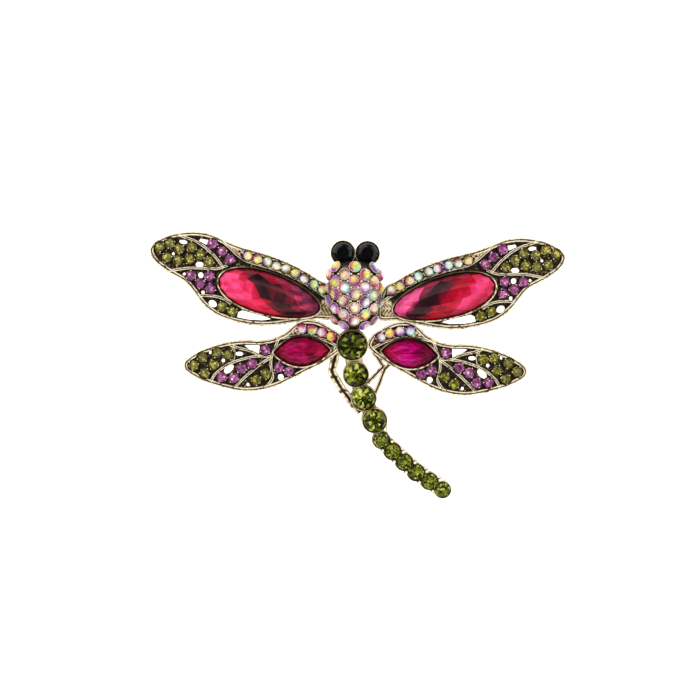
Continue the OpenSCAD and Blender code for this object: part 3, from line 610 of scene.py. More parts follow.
def plate(field, x, y, low, high, wearTop, wearBack):
    # A plate with any outline: the grid's cells whose middle has a negative field, with their border
    # corners slid along the field's slope onto the edge, by the field over its slope's square, then a
    # top, a back and a wall between them.
    step = x[0, 1] - x[0, 0]
    inCell = (field[:-1, :-1] + field[1:, :-1] + field[:-1, 1:] + field[1:, 1:]) < 0
    around = np.pad(inCell, 1)
    touched = around[:-1, :-1].astype(int) + around[1:, :-1] + around[:-1, 1:] + around[1:, 1:]
    border = (touched > 0) & (touched < 4)
    gy, gx = np.gradient(field, step)
    size = np.maximum(gx ** 2 + gy ** 2, plateEdge["slope"])
    most = plateEdge["slide"] * step
    move = np.clip(field / size, -most, most) * border
    px, py = x - move * gx, y - move * gy
    used = touched > 0
    index = np.full(field.shape, -1)
    index[used] = np.arange(used.sum())
    count = int(used.sum())
    top = np.stack([px[used], py[used], high[used]], 1)
    back = np.stack([px[used], py[used], low[used]], 1)
    a, b, c, d = index[:-1, :-1], index[:-1, 1:], index[1:, 1:], index[1:, :-1]
    quads = np.stack([a, b, c, d], -1)[inCell]
    walls = []
    for rows, cols, first, second in ((-1, 0, a, b), (1, 0, c, d), (0, -1, d, a), (0, 1, b, c)):
        beside = around[1 + rows:around.shape[0] - 1 + rows, 1 + cols:around.shape[1] - 1 + cols]
        open_ = inCell & ~beside
        walls.append(np.stack([second[open_], first[open_], first[open_] + count,
                               second[open_] + count], 1))
    faces = np.vstack([quads, quads[:, ::-1] + count, *walls]).tolist()
    wear = np.concatenate([wearTop[used], wearBack[used]])
    return np.vstack([top, back]), faces, wear


# The pierced floors of one side's wings, with the hatched relief at the wing's root.
floors = {"cell": 0.13, "xFrom": 2, "yFrom": -5, "yTo": 24, "wearTop": 0.18, "wearBack": 0.6,
    "seed": 31, "specks": 0.62, "speckFrom": 0.9, "speckMost": 1.6,
    "hatchMm": 0.62, "hatchRow": 1.9, "hatchWave": 2.4, "hatchSway": 0.5, "hatchSoft": 0.07,
    "hatchRise": 0.5, "hatchCut": 0.16, "hatchWear": 0.42, "hatchWearCut": 0.32,
    "hatchPatch": [[4.3, -0.2], [5.6, -0.7], [6.3, -1.4], [6.5, -2.6], [7.2, -3.5], [7.9, -4.2],
                   [5.6, -4.5], [4.2, -3.4]]}


def wingFloors():
    # Inside either outline and outside each opening. The hatching is a wave across that sways from row
    # to row, times a wave along, and rises softly out of the floor at the patch's edge.
    x, y = np.meshgrid(np.arange(floors["xFrom"], wings["upper"]["reach"] + 1, floors["cell"]),
                       np.arange(floors["yFrom"], floors["yTo"], floors["cell"]))
    field = np.minimum(*(edgeField(wing["edge"], x, y) for wing in wings.values())) + brooch["rimOver"]
    for name, wing in wings.items():
        for gap in wing["gaps"]:
            field = np.maximum(field, -edgeField(inWing(name, gap), x, y))
        for oval in wing["ovals"]:
            field = np.maximum(field, -ovalField(oval, inWing(name, oval), x, y))
    patch = edgeField(np.array(floors["hatchPatch"]) + [0, ahead], x, y)
    raised = 1 / (1 + np.exp(np.clip(patch / floors["hatchSoft"], -40, 40)))
    swayed = x + floors["hatchSway"] * np.sin(floors["hatchWave"] * y)
    weave = np.sin(2 * np.pi * swayed / floors["hatchMm"]) * np.cos(2 * np.pi * y / floors["hatchRow"])
    rise = raised * (floors["hatchRise"] + floors["hatchCut"] * weave)
    # Specks where the stain is rubbed through, each a cell or two wide.
    speck = np.random.default_rng(floors["seed"]).normal(0, 1, x.shape) - floors["speckFrom"]
    speck = np.clip(speck, 0, floors["speckMost"])
    speck = (speck + np.roll(speck, 1, 0) + np.roll(speck, 1, 1)) / 3
    wear = floors["wearTop"] + floors["specks"] * speck * (1 - raised) \
        + raised * (floors["hatchWear"] + floors["hatchWearCut"] * weave)
    return plate(field, x, y, backAt(x), backAt(x) + brooch["floor"] + rise,
                 wear, np.full(x.shape, floors["wearBack"]))


wingStoneNodes = [f"{row}_{what}_{side}" for side in ("left", "right")
                  for what in ("row", "amethysts", "olivines") for row in wings]
# Wires of the rims and veins: each has two bright edges with a dark groove between them. They sink
# under the thorax's stones and make room for the stones of the wing. The seeds of a wing's veins are
# counted on from "veinSeed", with "veinsMost" of them kept for each wing.
wires = {"rimWidth": 0.75, "rimGroove": 0.2, "rimFoot": 0.02, "veinWidth": 0.5, "veinGroove": 0.16,
    "veinFoot": 0.5, "veinUnder": 0.35, "rough": 0.035, "sunkFrom": 1.02, "sunkTo": 1.16, "sunkShare": 0.3,
    "play": 0.12, "cutReach": 0.2, "cutEdge": 0.08, "rimSeed": 5, "veinSeed": 20, "veinsMost": 9}


# A wire's section: its points across in half widths, then down from the top to its middle, in
# millimetres on the outer edge and in shares of the groove's depth within it.
grooved = {"across": [-0.9, -1, -0.94, -0.72, -0.42, -0.2, 0, 0.2, 0.42, 0.72, 0.94, 1, 0.9],
    "edge": [0, 0.45, 0.12, 0], "dip": [0.1, 0.75, 1],
    # The last entries of "wear", on the positive side across, are a little darker than the first: painted
    # shade on that side of each wire.
    "wear": [0.35, 0.6, 0.85, 1, 0.9, 0.45, 0.22, 0.45, 0.9, 1, 0.8, 0.5, 0.25]}


def groove(width, top, foot, deep):
    # Steep sides, two rounded edges and a rounded groove between them, the same on either side.
    down = np.concatenate([grooved["edge"], np.array(grooved["dip"]) * deep])
    h = top - np.concatenate([down, down[-2::-1]])
    h[[0, -1]] = foot
    return np.stack([np.array(grooved["across"]) * width / 2, h], 1), np.array(grooved["wear"])


def thoraxShare(x, y, more=0):
    # Distance from the thorax's middle in units of its outline. With x and y as shares of its half
    # sizes, it is the root of x squared plus y to the power 2, or to the power "square" at the head.
    x = (x - brooch["bodyX"]) / (thorax["a"] + more)
    y = (y - ahead) / (thorax["b"] + more)
    return np.sqrt(x ** 2 + np.abs(y) ** np.where(y > 0, thorax["square"], 2))


def wireAlong(line, width, foot, deep, seed, closed=False):
    # A wire along a line on the wings' back. Its top goes down to a share of its height where it runs
    # under the thorax's stones.
    profile, wear = groove(width, brooch["rimHeight"], foot, deep)
    p = np.broadcast_to(profile, (len(line), *profile.shape)).copy()
    out = (thoraxShare(*line.T) - wires["sunkFrom"]) / (wires["sunkTo"] - wires["sunkFrom"])
    share = wires["sunkShare"] + (1 - wires["sunkShare"]) * np.clip(out, 0, 1)
    low = wires["veinFoot"]
    p[..., 1] = low + (p[..., 1] - low) * share[:, None]
    return carry(p, wear, onBack(line), closed, seed=seed, rough=wires["rough"])


def clearOf(shape, stones):
    # Seats are cut into the wires: what lies over a stone or within "play" of its edge moves outwards
    # from its middle, by less the farther out it was, so that the wire stays whole.
    verts, faces, wear = shape
    verts, near, edge = verts.copy(), wires["cutReach"], wires["cutEdge"]
    for middle, radius in stones:
        away = verts[:, :2] - middle[:2]
        d = np.maximum(np.linalg.norm(away, axis=1), 1e-6)
        r = radius + wires["play"]
        moved = np.where(d < r, r + edge * d / r, r + edge + (d - r) * (near - edge) / near)
        verts[:, :2] += away * (np.where(d < r + near, moved, d) / d - 1)[:, None]
    return verts, faces, wear


def wingWires():
    # The rim's middle line lies half its width inside the outline, and the veins end under the rim.
    made = []
    stones = [(c, r) for node in wingStoneNodes if node.endswith("right")
              for c, r in zip(stonesOf(node)[0], stonesOf(node)[2])]
    for number, (name, wing) in enumerate(wings.items()):
        edge = wing["edge"]
        along = np.roll(edge, -1, 0) - np.roll(edge, 1, 0)
        inward = np.stack([along[:, 1], -along[:, 0]], 1)
        inward /= np.linalg.norm(inward, axis=1, keepdims=True)
        middle = edge + inward * wires["rimWidth"] / 2
        made.append(wireAlong(middle, wires["rimWidth"], wires["rimFoot"], wires["rimGroove"],
                              wires["rimSeed"] + number, True))
        for v, vein in enumerate(wing["veins"]):
            line = evenLine(smoothLine(inWing(name, vein), steps=12), brooch["step"])
            line = line[edgeField(edge, *line.T) < -wires["veinUnder"] * wires["rimWidth"]]
            made.append(wireAlong(line, wires["veinWidth"], wires["veinFoot"], wires["veinGroove"],
                                  wires["veinSeed"] + wires["veinsMost"] * number + v))
    return clearOf(joined(made), stones)


# The large stones: place as shares of the wing, turn in degrees, and sizes in millimetres. "ends" is how
# much of its distance from the sides a setting keeps at a stone's ends.
ruby = {"wing": "upper", "place": [0.418, 0.334], "turn": 16, "length": 17.8, "width": 7,
    "height": 1.7, "depth": 1, "rings": [(0.3, 1), (0.5, 0.9), (0.7, 0.68), (0.87, 0.36), (1, 0)],
    "sides": 18, "noise": 0.12, "ends": 1, "girth": 0.97, "taper": 0.14, "kind": "rubyGlass"}
marquise = {"wing": "lower", "place": [0.312, 0.508], "turn": -4, "length": 9.3, "width": 4.8,
    "height": 1.2, "depth": 0.9, "rings": [(0.42, 1), (0.6, 0.82), (0.8, 0.48), (1, 0)],
    "sides": 16, "noise": 0.19, "ends": 1.3, "boat": 0.75, "kind": "fuchsiaGlass"}
# Their settings. "edge" goes from the outside inwards, in shares of half the wall, and in millimetres
# down from the top.
setting = {"wall": 0.4, "over": 0.3, "foot": 0.6, "rough": 0.03, "points": 400,
    "edge": [[-1, -0.3], [-0.8, -0.08], [-0.2, 0], [0.45, -0.02], [1, -0.16]],
    "wear": [0.05, 0.15, 0.6, 0.95, 0.6, 0.15, 0.05], "seed": 41,
    "downFrom": 0.5, "outFrom": 0.25, "stained": 0.35, "gain": 0.6, "rubbed": 0.8}


def outlineOf(stone, turn):
    # Unit outlines, with the cosine along. Across, the ruby is the sine times "girth" plus "taper" times
    # the cosine, a drop with a blunt outer end. The marquise is the sine times its size to the power
    # "boat", with a point at either end.
    x, y = np.cos(turn), np.sin(turn)
    if stone is ruby:
        return x, y * (stone["girth"] + stone["taper"] * x)
    return x, y * np.abs(y) ** stone["boat"]


def planeTurn(degrees):
    # The matrix that turns points of the plane.
    c, s = np.cos(np.radians(degrees)), np.sin(np.radians(degrees))
    return np.array([[c, -s], [s, c]])


def wingPlace(stone, lift):
    # The stone's middle and its frame: turned in the wing, then tilted with the wing's slope.
    x, y = inWing(stone["wing"], stone["place"])
    tilt = np.arctan(2 * backFall * max(x - brooch["flatHalf"], 0))
    spin = np.eye(3)
    spin[:2, :2] = planeTurn(stone["turn"])
    lean = np.array([[np.cos(tilt), 0, np.sin(tilt)], [0, 1, 0], [-np.sin(tilt), 0, np.cos(tilt)]])
    return np.array([x, y, backAt(x) + lift]), lean @ spin


def wingSettings():
    # A thin wall round each large stone, with a rounded edge. Stain stays where the row's wire stands
    # close, above the stone, and the rest is rubbed bright: by "stained", plus "gain" times how far a
    # point lies down from "downFrom" and out from "outFrom" as shares of the stone, at most by "rubbed".
    made = []
    top, half = brooch["rimHeight"] + setting["over"], setting["wall"] / 2
    edge = np.array(setting["edge"]) * [half, 1] + [0, top]
    profile = [[-half, setting["foot"]], *edge, [half, setting["foot"]]]
    for number, stone in enumerate((ruby, marquise)):
        u, v = outlineOf(stone, turns(setting["points"]))
        out = brooch["stoneFit"] + half
        line = np.stack([u * (stone["length"] / 2 + stone["ends"] * out),
                         v * (stone["width"] / 2 + out)], 1)
        line = evenLine(line, brooch["step"], True)
        low = np.clip(setting["downFrom"] - line[:, 1] / stone["width"], 0, 1) \
            + np.clip(line[:, 0] / stone["length"] - setting["outFrom"], 0, 1)
        rubbed = np.clip(setting["stained"] + setting["gain"] * low, 0, setting["rubbed"])[:, None]
        line = line @ planeTurn(stone["turn"]).T + inWing(stone["wing"], stone["place"])
        made.append(carry(profile, setting["wear"] * rubbed, onBack(line), True,
                          setting["seed"] + number, setting["rough"]))
    return joined(made)


# The florets of cast relief at the outer end of each row of aurora stones: beads with three petals.
relief = {"bead": 0.55, "offsets": [[-1.7, -0.8], [-0.8, 0.1], [0.1, -0.6], [0.7, 0.6], [1.7, 0.7]],
    "upper": [0.565, 0.785], "lower": [0.365, 0.785], "top": 1.6, "foot": 0.6, "inside": 0.2,
    "petalOut": 0.42, "petalTurns": [0.6, 2.5, 4.4], "petalSize": [0.5, 0.5, 0.9],
    "head": [[1, -0.2], [0.82, -0.07], [0.45, 0], [0, -0.05]], "wear": [0.1, 0.1, 0.5, 0.85, 0.9, 0.4],
    "sides": 12}


def reliefBeads():
    # Beads and petals are cast where they lie inside the wing's outline by "inside" or more.
    spots, petals = [], []
    ring = relief["petalOut"] * onCircle(np.array(relief["petalTurns"]))
    for name, wing in wings.items():
        near = inWing(name, relief[name]) + np.array(relief["offsets"]) * relief["bead"]
        around = (near[:, None] + ring[None]).reshape(-1, 2)
        for kept, points in ((spots, near), (petals, around)):
            kept.append(points[edgeField(wing["edge"], *points.T) < -relief["inside"]])
    r = relief["bead"] / 2
    head = np.array(relief["head"]) * [r, 1] + [0, relief["top"]]
    bead = lathe([[0, relief["foot"]], [r, relief["foot"]], *head], relief["wear"], relief["sides"])
    level = np.eye(3)[None]
    return joined([stamp(bead, onBack(np.vstack(spots)), level),
                   stamp(bead, onBack(np.vstack(petals)), level, relief["petalSize"])])


# Cups and prongs of the small stones. A prong is a post with a round head over the stone's edge.
cups = {"seed": 3, "ringOver": 0.02, "ringDown": 0.5, "ringOut": 0.11, "ringEdge": 0.03,
    "ringWear": [0.05, 0.12, 0.2, 0.1, 0.05], "sides": 20, "prongWidth": 0.25,
    "prongOver": 0.14, "prongOut": 0.03, "prongs": 3, "prongBright": 0.95, "prongSides": 8,
    "head": [[1, -0.6], [0.86, -0.28], [0.5, -0.06], [0, 0]], "prongWear": [0.1, 0.1, 0.3, 0.6, 0.95, 1]}


def prongShape(width, low, high, bright=1.0):
    # A round post with a domed head, dark at its foot and bright on top. "head" has the dome's points
    # in shares of the post's radius, from the middle of its top.
    r = width / 2
    head = np.array(cups["head"]) * r + [0, high]
    return lathe([[0, low], [r, low], *head], bright * np.array(cups["prongWear"]), cups["prongSides"])


def cupsFor(nodes, seed=0, prongs=0, bright=1.0):
    # A thin ring round each stone of the nodes, and prongs at equal turns from a random start.
    made, r = [], np.random.default_rng(seed)
    prong = prongShape(cups["prongWidth"], -cups["ringDown"], cups["prongOver"], cups["prongBright"])
    for node in nodes:
        centres, frames, radii = stonesOf(node)
        inner = float(radii.mean())
        outer = inner + cups["ringOut"]
        ring = ringOf([[outer, -cups["ringDown"]], [outer, cups["ringOver"] - cups["ringEdge"]],
                       [(outer + inner) / 2, cups["ringOver"]], [inner, 0], [inner, -cups["ringDown"]]],
                      bright * np.array(cups["ringWear"]), cups["sides"])
        made.append(stamp(ring, centres, frames))
        if prongs:
            turn = r.uniform(0, wholeTurn, len(centres))[:, None] + turns(prongs)
            out = onCircle(turn, 3) * (inner + cups["prongOut"])
            spots = (np.einsum("sij,spj->spi", frames, out) + centres[:, None, :]).reshape(-1, 3)
            made.append(stamp(prong, spots, np.repeat(frames, prongs, 0)))
    return made


# The thorax, by its half sizes and the dome's height. From the share "neck" on, behind the eyes, the
# metal is darker: "plateWear" and "domeWear" are the tones beyond it and before it.
thorax = {"a": 4.3, "b": 6, "h": 4.4, "square": 6, "skirt": 0.22, "beadWidth": 0.42, "beadOver": 0.14,
    "beadDown": 0.7, "near": 2.75, "neck": 0.82, "neckY": 0.8, "eyeSide": 1.9, "eyeWidth": 3.04,
    "cell": 0.15, "box": [-6.5, 6.5, -8, 10], "plateWear": [0.3, 0.85], "domeWear": [0.2, 0.34],
    "ringBright": 4, "slices": 45, "slicePoints": 25, "lastSlice": 88}

rightWings = {"wing_floors": wingFloors(),
              "wing_wires": joined([wingWires(), wingSettings(), reliefBeads()])}
for number, side in enumerate(("left", "right")):
    for name, shape in rightWings.items():
        addMetal(f"{name}_{side}", mirrored(shape) if side == "left" else shape)
    nodes = [node for node in wingStoneNodes if node.endswith(side)]
    addMetal(f"stone_cups_{side}", joined(cupsFor(nodes, cups["seed"] + number, cups["prongs"])))


def thoraxMetal():
    # A plate under a dome, with rings and beads between its stones.
    low, right, front, back = thorax["box"]
    x, y = np.meshgrid(np.arange(low, right, thorax["cell"]),
                       np.arange(ahead + front, ahead + back, thorax["cell"]))
    across = np.clip(x - brooch["bodyX"], -thorax["eyeSide"], thorax["eyeSide"])
    neck = np.hypot(x - brooch["bodyX"] - across, y - ahead - thorax["neckY"] * brooch["eyeY"])
    field = np.minimum((thoraxShare(x, y, thorax["skirt"]) - 1) * thorax["a"],
                       neck - thorax["eyeWidth"] / 2)
    height = 0 * x + brooch["backHeight"]
    base = plate(field, x, y, height, height + brooch["floor"],
                 np.where(y > ahead + thorax["neck"] * thorax["b"], *thorax["plateWear"]),
                 np.full(x.shape, floors["wearBack"]))
    # Slices of the dome are half ovals, as wide at y as the root of 1 less the power of y's share. They
    # stand at the sines of equal turns from -"lastSlice" to "lastSlice" degrees.
    share = np.sin(np.radians(np.linspace(-thorax["lastSlice"], thorax["lastSlice"], thorax["slices"])))
    wide = np.sqrt(1 - np.abs(share) ** np.where(share > 0, thorax["square"], 2))
    slices = wide[:, None, None] * onCircle(np.linspace(0, np.pi, thorax["slicePoints"])) \
        * [thorax["a"], thorax["h"]]
    line = np.stack([0 * share + brooch["bodyX"], ahead + thorax["b"] * share,
                     0 * share + brooch["backHeight"] + brooch["floor"] / 2], 1)
    dome = carry(slices, np.where(share > thorax["neck"], *thorax["domeWear"])[:, None], line)
    # A bead stands in each gap between three neighbouring stones.
    centres, frames = stonesOf("thorax_stones")[:2]
    gap = np.linalg.norm(centres[:, None] - centres[None], axis=2)
    i, j, k = np.indices((len(centres),) * 3).reshape(3, -1)
    near = thorax["near"]
    trio = (i < j) & (j < k) & (gap[i, j] < near) & (gap[j, k] < near) & (gap[i, k] < near)
    i, j, k = i[trio], j[trio], k[trio]
    up = framesFor(frames[i, :, 2] + frames[j, :, 2] + frames[k, :, 2])
    bead = prongShape(thorax["beadWidth"], -thorax["beadDown"], thorax["beadOver"])
    beads = stamp(bead, (centres[i] + centres[j] + centres[k]) / 3, up)
    return joined([base, dome, beads, *cupsFor(["thorax_stones"], bright=thorax["ringBright"])])


# Round cups of the eyes and tail, with a bright lip, and what joins the tail's cups. "turns" are the
# degrees from X of the way across the tail, cup by cup. "lipEdge" goes inwards over a cup's lip, in
# millimetres from its outer top. The bridge's section is in shares of its half width and of its height.
tail = {"wall": 0.22, "fit": 0.1, "lip": 0.12, "seat": 0.5, "footCut": [0.08, 0.1], "clear": 0.03,
    "lipEdge": [[0, -0.3], [-0.07, -0.06], [-0.12, 0], [-0.17, -0.05]], "inside": 0.16, "under": 0.05,
    "footWear": 0.5, "edgeWear": [0.8, 1, 1, 0.5], "seatWear": [0.08, 0.05, 0.05], "cupSides": 48,
    "bridgeShare": 0.7, "bridge": 1, "bridgeWear": [0.3, 0.5, 0.6, 0.6, 0.5, 0.3],
    "section": [[-1, 0.05], [-1, 0.75], [-0.8, 1], [0.8, 1], [1, 0.75], [1, 0.05]],
    "beadWidth": 0.6, "beadOver": 0.35, "beadOut": 1.12, "railOut": 0.34, "railUp": 1.2,
    "railWidth": 0.3, "railStep": 0.3, "railSides": 8, "railWear": [0.6, 0.35], "beadFoot": 0.1,
    "turns": [8, 19, 27, 20, 45, 48, 50, 57, 58], "firstSmall": 4,
    "lips": [0.62] * 4 + [0.46] * 5 + [0.85], "eyeLips": [0.85, 0.85]}


def cupShape(radius, lip):
    # A cup from its foot round the lip and down to the seat under the stone, in one turned profile.
    out, top, clear = radius + tail["fit"] + tail["wall"], tail["lip"], radius + tail["clear"]
    seatAt = -roundCut["pavilion"] * radius - tail["under"]
    low = -roundCut["pavilion"] * radius - tail["seat"]
    cutIn, cutUp = tail["footCut"]
    profile = [[0, low], [out - cutIn, low], [out, low + cutUp], *(np.array(tail["lipEdge"]) + [out, top]),
               [clear, top - tail["inside"]], [clear, seatAt], [0, seatAt]]
    wear = [tail["footWear"]] * 3 + [share * lip for share in tail["edgeWear"]] + tail["seatWear"]
    return lathe(profile, np.array(wear), tail["cupSides"])


def cupsOf(nodes, lips):
    # A cup for the one stone of each node.
    made = []
    for node, lip in zip(nodes, lips):
        centres, frames, radii = stonesOf(node)
        made.append(stamp(cupShape(float(radii[0]), lip), centres, frames))
    return made


tailNodes = [f"tail_stone_{i}" for i in range(1, 11)]


def tailMetal():
    # A bridge under the ten cups, with beads between them and a rail.
    found = [stonesOf(node) for node in tailNodes]
    girdle, frames, radius = (np.array([f[k][0] for f in found]) for k in range(3))
    low = girdle - frames[:, :, 2] * (roundCut["pavilion"] * radius + tail["seat"])[:, None]
    # The bridge under the cups is as wide as a share of each stone.
    size = np.stack([radius * tail["bridgeShare"], 0 * radius + tail["bridge"]], 1)
    bridge = carry(tail["section"] * size[:, None, :], tail["bridgeWear"], low)
    # A bead stands on either side between two small stones, and a thin rail joins the outer ones.
    across = onCircle(np.radians(tail["turns"]), 3)
    first = tail["firstSmall"]
    middle = (low[first:-1] + low[first + 1:]) / 2
    up = framesFor(frames[first:-1, :, 2] + frames[first + 1:, :, 2])
    high = tail["seat"] + roundCut["pavilion"] * radius[-1] + tail["lip"] + tail["beadOver"]
    bead = prongShape(tail["beadWidth"], tail["beadFoot"], high)
    beads = [stamp(bead, middle + s * across[first:] * tail["beadOut"], up) for s in (-1, 1)]
    out = across[np.minimum(np.arange(first - 1, len(low)), len(across) - 1)]
    rail = low[first - 1:] + out * (radius[first - 1:] + tail["railOut"])[:, None]
    rail[:, 2] += tail["railUp"]
    rail = evenLine(smoothLine(rail, steps=8), tail["railStep"])
    turn, (middleWear, moreWear) = turns(tail["railSides"]), tail["railWear"]
    rail = carry(tail["railWidth"] / 2 * onCircle(turn), middleWear + moreWear * np.sin(turn), rail)
    verts, faces, wear = joined([bridge, *beads, rail, *cupsOf(tailNodes, tail["lips"])])
    # The casting is cut flat where the tail's tip rests, and ends there too.
    return np.maximum(verts, [-99, cadBox[0][1] / mm, 0]), faces, wear


# Legs: points as shares of the lower wing, and the end from a tail stone's middle in its diameters.
# Each goes down to the foot of the cup "down".
legs = {"height": 1.4, "big": 3.9, "step": 0.25, "rough": 0.03, "seed": 60, "bars": [
    {"points": [[-0.105, 0.6], [-0.138, 0.24], [-0.075, 0]], "stone": 2, "end": [-0.14, -0.63],
     "width": 1.5, "groove": 0.34, "down": 3, "bright": 0.78},
    {"points": [[0.2, 0.36], [0.17, 0.29], [0.135, 0.06]], "stone": 2, "end": [0.39, -0.01],
     "width": 0.75, "groove": 0.3, "down": 2, "bright": 0.66},
    {"points": [[0.1, 0.53], [0.162, 0.325]], "stone": 1, "end": [0.5, -0.36],
     "width": 0.75, "groove": 0.3, "down": 1, "bright": 0.72}]}


def legMetal():
    # Grooved bars from the wing's height down to the tail's cups.
    made = []
    for number, leg in enumerate(legs["bars"]):
        middle = stonesOf(tailNodes[leg["stone"]])[0][0]
        centres, frames, radii = stonesOf(tailNodes[leg["down"]])
        foot = centres[0] - frames[0, :, 2] * (tail["seat"] + roundCut["pavilion"] * radii[0])
        end = middle[:2] + np.array(leg["end"]) * legs["big"]
        points = np.vstack([inWing("lower", leg["points"]), end])
        height = np.linspace(brooch["backHeight"], foot[2], len(points))
        line = evenLine(np.column_stack([points, height]), legs["step"])
        profile, wear = groove(leg["width"], legs["height"], wires["rimFoot"], leg["groove"])
        made.append(carry(profile, leg["bright"] * wear, line, seed=legs["seed"] + number,
                          rough=legs["rough"]))
    return joined(made)


addMetal("thorax_metal", thoraxMetal())
addMetal("head_cups", joined(cupsOf(["eye_left", "eye_right"], tail["eyeLips"])))
addMetal("tail_metal", tailMetal())
addMetal("legs", legMetal())


# Colours of the facets. Tones go from 0, dark, to 1, bright. Level 0 is the table, then come two levels
# for each row of the crown from the table out, and the highest level is the back below the girdle.
scatter = {"beta": (1.3, 1.6), "corners": 0.07, "back": 0.08}


def scattered(low, high, star):
    # Random tones between low and high, by a beta distribution, and a little uneven from corner to
    # corner. The table's facets are alternately lighter and darker by "star", and the back is darker.
    def rule(kind, shape, facets, level):
        tone = low + (high - low) * draw.beta(*scatter["beta"], (len(shape), len(facets)))
        tone = tone + np.where(level == 0, star * (-1.0) ** np.arange(len(facets)), 0)
        tone = tone - np.where(level == level.max(), scatter["back"], 0)
        uneven = draw.uniform(-scatter["corners"], scatter["corners"], (*tone.shape, 3))
        return shades(kind["stops"], tone[:, :, None] + uneven)
    return rule


# The bright petals in the large tail stones, which are painted reflections, and the painted light that
# comes from the upper left.
petals = {"count": 8, "sway": 0.2, "sharp": 0.8, "table": 0.3, "uneven": 0.3, "rim": 0.12,
    "light": [-0.7, 0.7]}


def petalled(low, high, lean):
    # Uneven bright petals between dark spokes: half of 1 plus the cosine of the turn times their number.
    # The table is dull, the facets along the girdle and the back are darker by "rim", and the side
    # towards the light is lighter by "lean".
    def rule(kind, shape, facets, level):
        middle = shape[:, facets, :2].mean(2)
        turn = np.arctan2(middle[..., 1], middle[..., 0])
        turn = turn + draw.uniform(0, wholeTurn, len(shape))[:, None]
        turn = turn + draw.uniform(-petals["sway"], petals["sway"], turn.shape)
        petal = (0.5 + 0.5 * np.cos(petals["count"] * turn)) ** petals["sharp"]
        tone = low + (high - low) * np.where(level == 0, petals["table"], petal) \
            + draw.uniform(-petals["uneven"], petals["uneven"], turn.shape)
        tone = tone + lean * middle @ np.array(petals["light"]) \
            - np.where(level >= level.max() - 2, petals["rim"], 0)
        return shades(kind["stops"], np.repeat(tone[:, :, None], 3, 2))
    return rule


def crowned(table, crown, uneven):
    # One tone for the table, which is the first three levels, and one for the crown, a little uneven.
    def rule(kind, shape, facets, level):
        tone = np.where(level <= 2, table, crown)
        tone = tone + draw.uniform(-uneven, uneven, (len(shape), len(facets)))
        return shades(kind["stops"], np.repeat(tone[:, :, None], 3, 2))
    return rule


# The aurora film: how far the core lies off the middle and where it fades out, in radii, how uneven the
# crescent and the facets are, and the back's share of its colour.
aurora = {"off": (0.1, 0.3), "coreFrom": 0.52, "coreTo": 0.74, "contrast": 1.2, "uneven": 0.3,
    "facets": (0.68, 1.22), "back": 0.3}


def auroraTints(kind, shape, facets, level):
    # A clear core, off the stone's middle, inside a crescent: deep violet or pink on one side and pale
    # on the other, uneven from facet to facet. Core and crescent are painted reflections of the foil,
    # coloured by the film.
    # The core's share falls from 1 to 0 between "coreFrom" and "coreTo" from its own middle.
    count = len(shape)
    core, deep, pale = (np.array([linear(c) for c in kind[k]])[draw.integers(0, len(kind[k]), count)]
                        for k in ("cores", "deeps", "pales"))
    side = onCircle(draw.uniform(0, 2 * np.pi, count))
    place = shape[:, facets, :2]
    shift = draw.uniform(*aurora["off"], (count, 1, 1, 1)) * side[:, None, None, :]
    within = aurora["coreTo"] - np.linalg.norm(place + shift, axis=3)
    share = np.clip(within / (aurora["coreTo"] - aurora["coreFrom"]), 0, 1)[..., None]
    across = np.einsum("sfck,sk->sfc", place, side).mean(2)
    across = across + draw.uniform(-aurora["uneven"], aurora["uneven"], across.shape)
    dark = np.clip(0.5 + aurora["contrast"] * across, 0, 1)[:, :, None, None]
    ring = dark * deep[:, None, None, :] + (1 - dark) * pale[:, None, None, :]
    tint = share * core[:, None, None, :] + (1 - share) * ring
    tint = tint * draw.uniform(*aurora["facets"], across.shape)[:, :, None, None]
    return tint * np.where(level == level.max(), aurora["back"], 1)[None, :, None, None]


# Rings of a stone's corners, from the table to the girdle, as shares of its radius and crown.
smallRings = [(0.52, 1), (0.78, 0.66), (1, 0)]
bigRings = [(0.27, 1), (0.55, 1), (0.8, 0.62), (1, 0)]
smallKinds = {"row": ("auroraGlass", auroraTints),
              "amethysts": ("amethystGlass", scattered(low=0.12, high=0.96, star=0.14)),
              "olivines": ("olivineGlass", scattered(low=0.08, high=0.96, star=0.16))}
for side in ("left", "right"):
    for row in wings:
        for what, (kind, rule) in smallKinds.items():
            kind = "paleAuroraGlass" if (row, what) == ("upper", "row") else kind
            roundStones(f"{row}_{what}_{side}", kind, smallRings, 8, rule, roundCut["tight"])
    # The eyes' jet crown is lighter than its table: a painted reflection on the sloping facets.
    roundStones(f"eye_{side}", "jetGlass", bigRings, 16, crowned(table=0.05, crown=0.4, uneven=0.08),
                roundCut["fill"])
roundStones("thorax_stones", "auroraGlass", smallRings, 8, auroraTints, roundCut["fill"])
# Low, high and lean of the large tail stones: the waist's stone is dark, and the next three are bright.
# The last six are small.
largeTones = [(-0.08, 0.52, -0.12), (0.08, 0.76, 0.4), (0.1, 0.8, 0.35), (-0.06, 0.78, 0.1)]
tailRules = [petalled(*tones) for tones in largeTones] + [scattered(low=0.02, high=0.95, star=0.2)] * 6
for node, rule in zip(tailNodes, tailRules):
    roundStones(node, "peridotGlass", bigRings, 16, rule, roundCut["tight"])
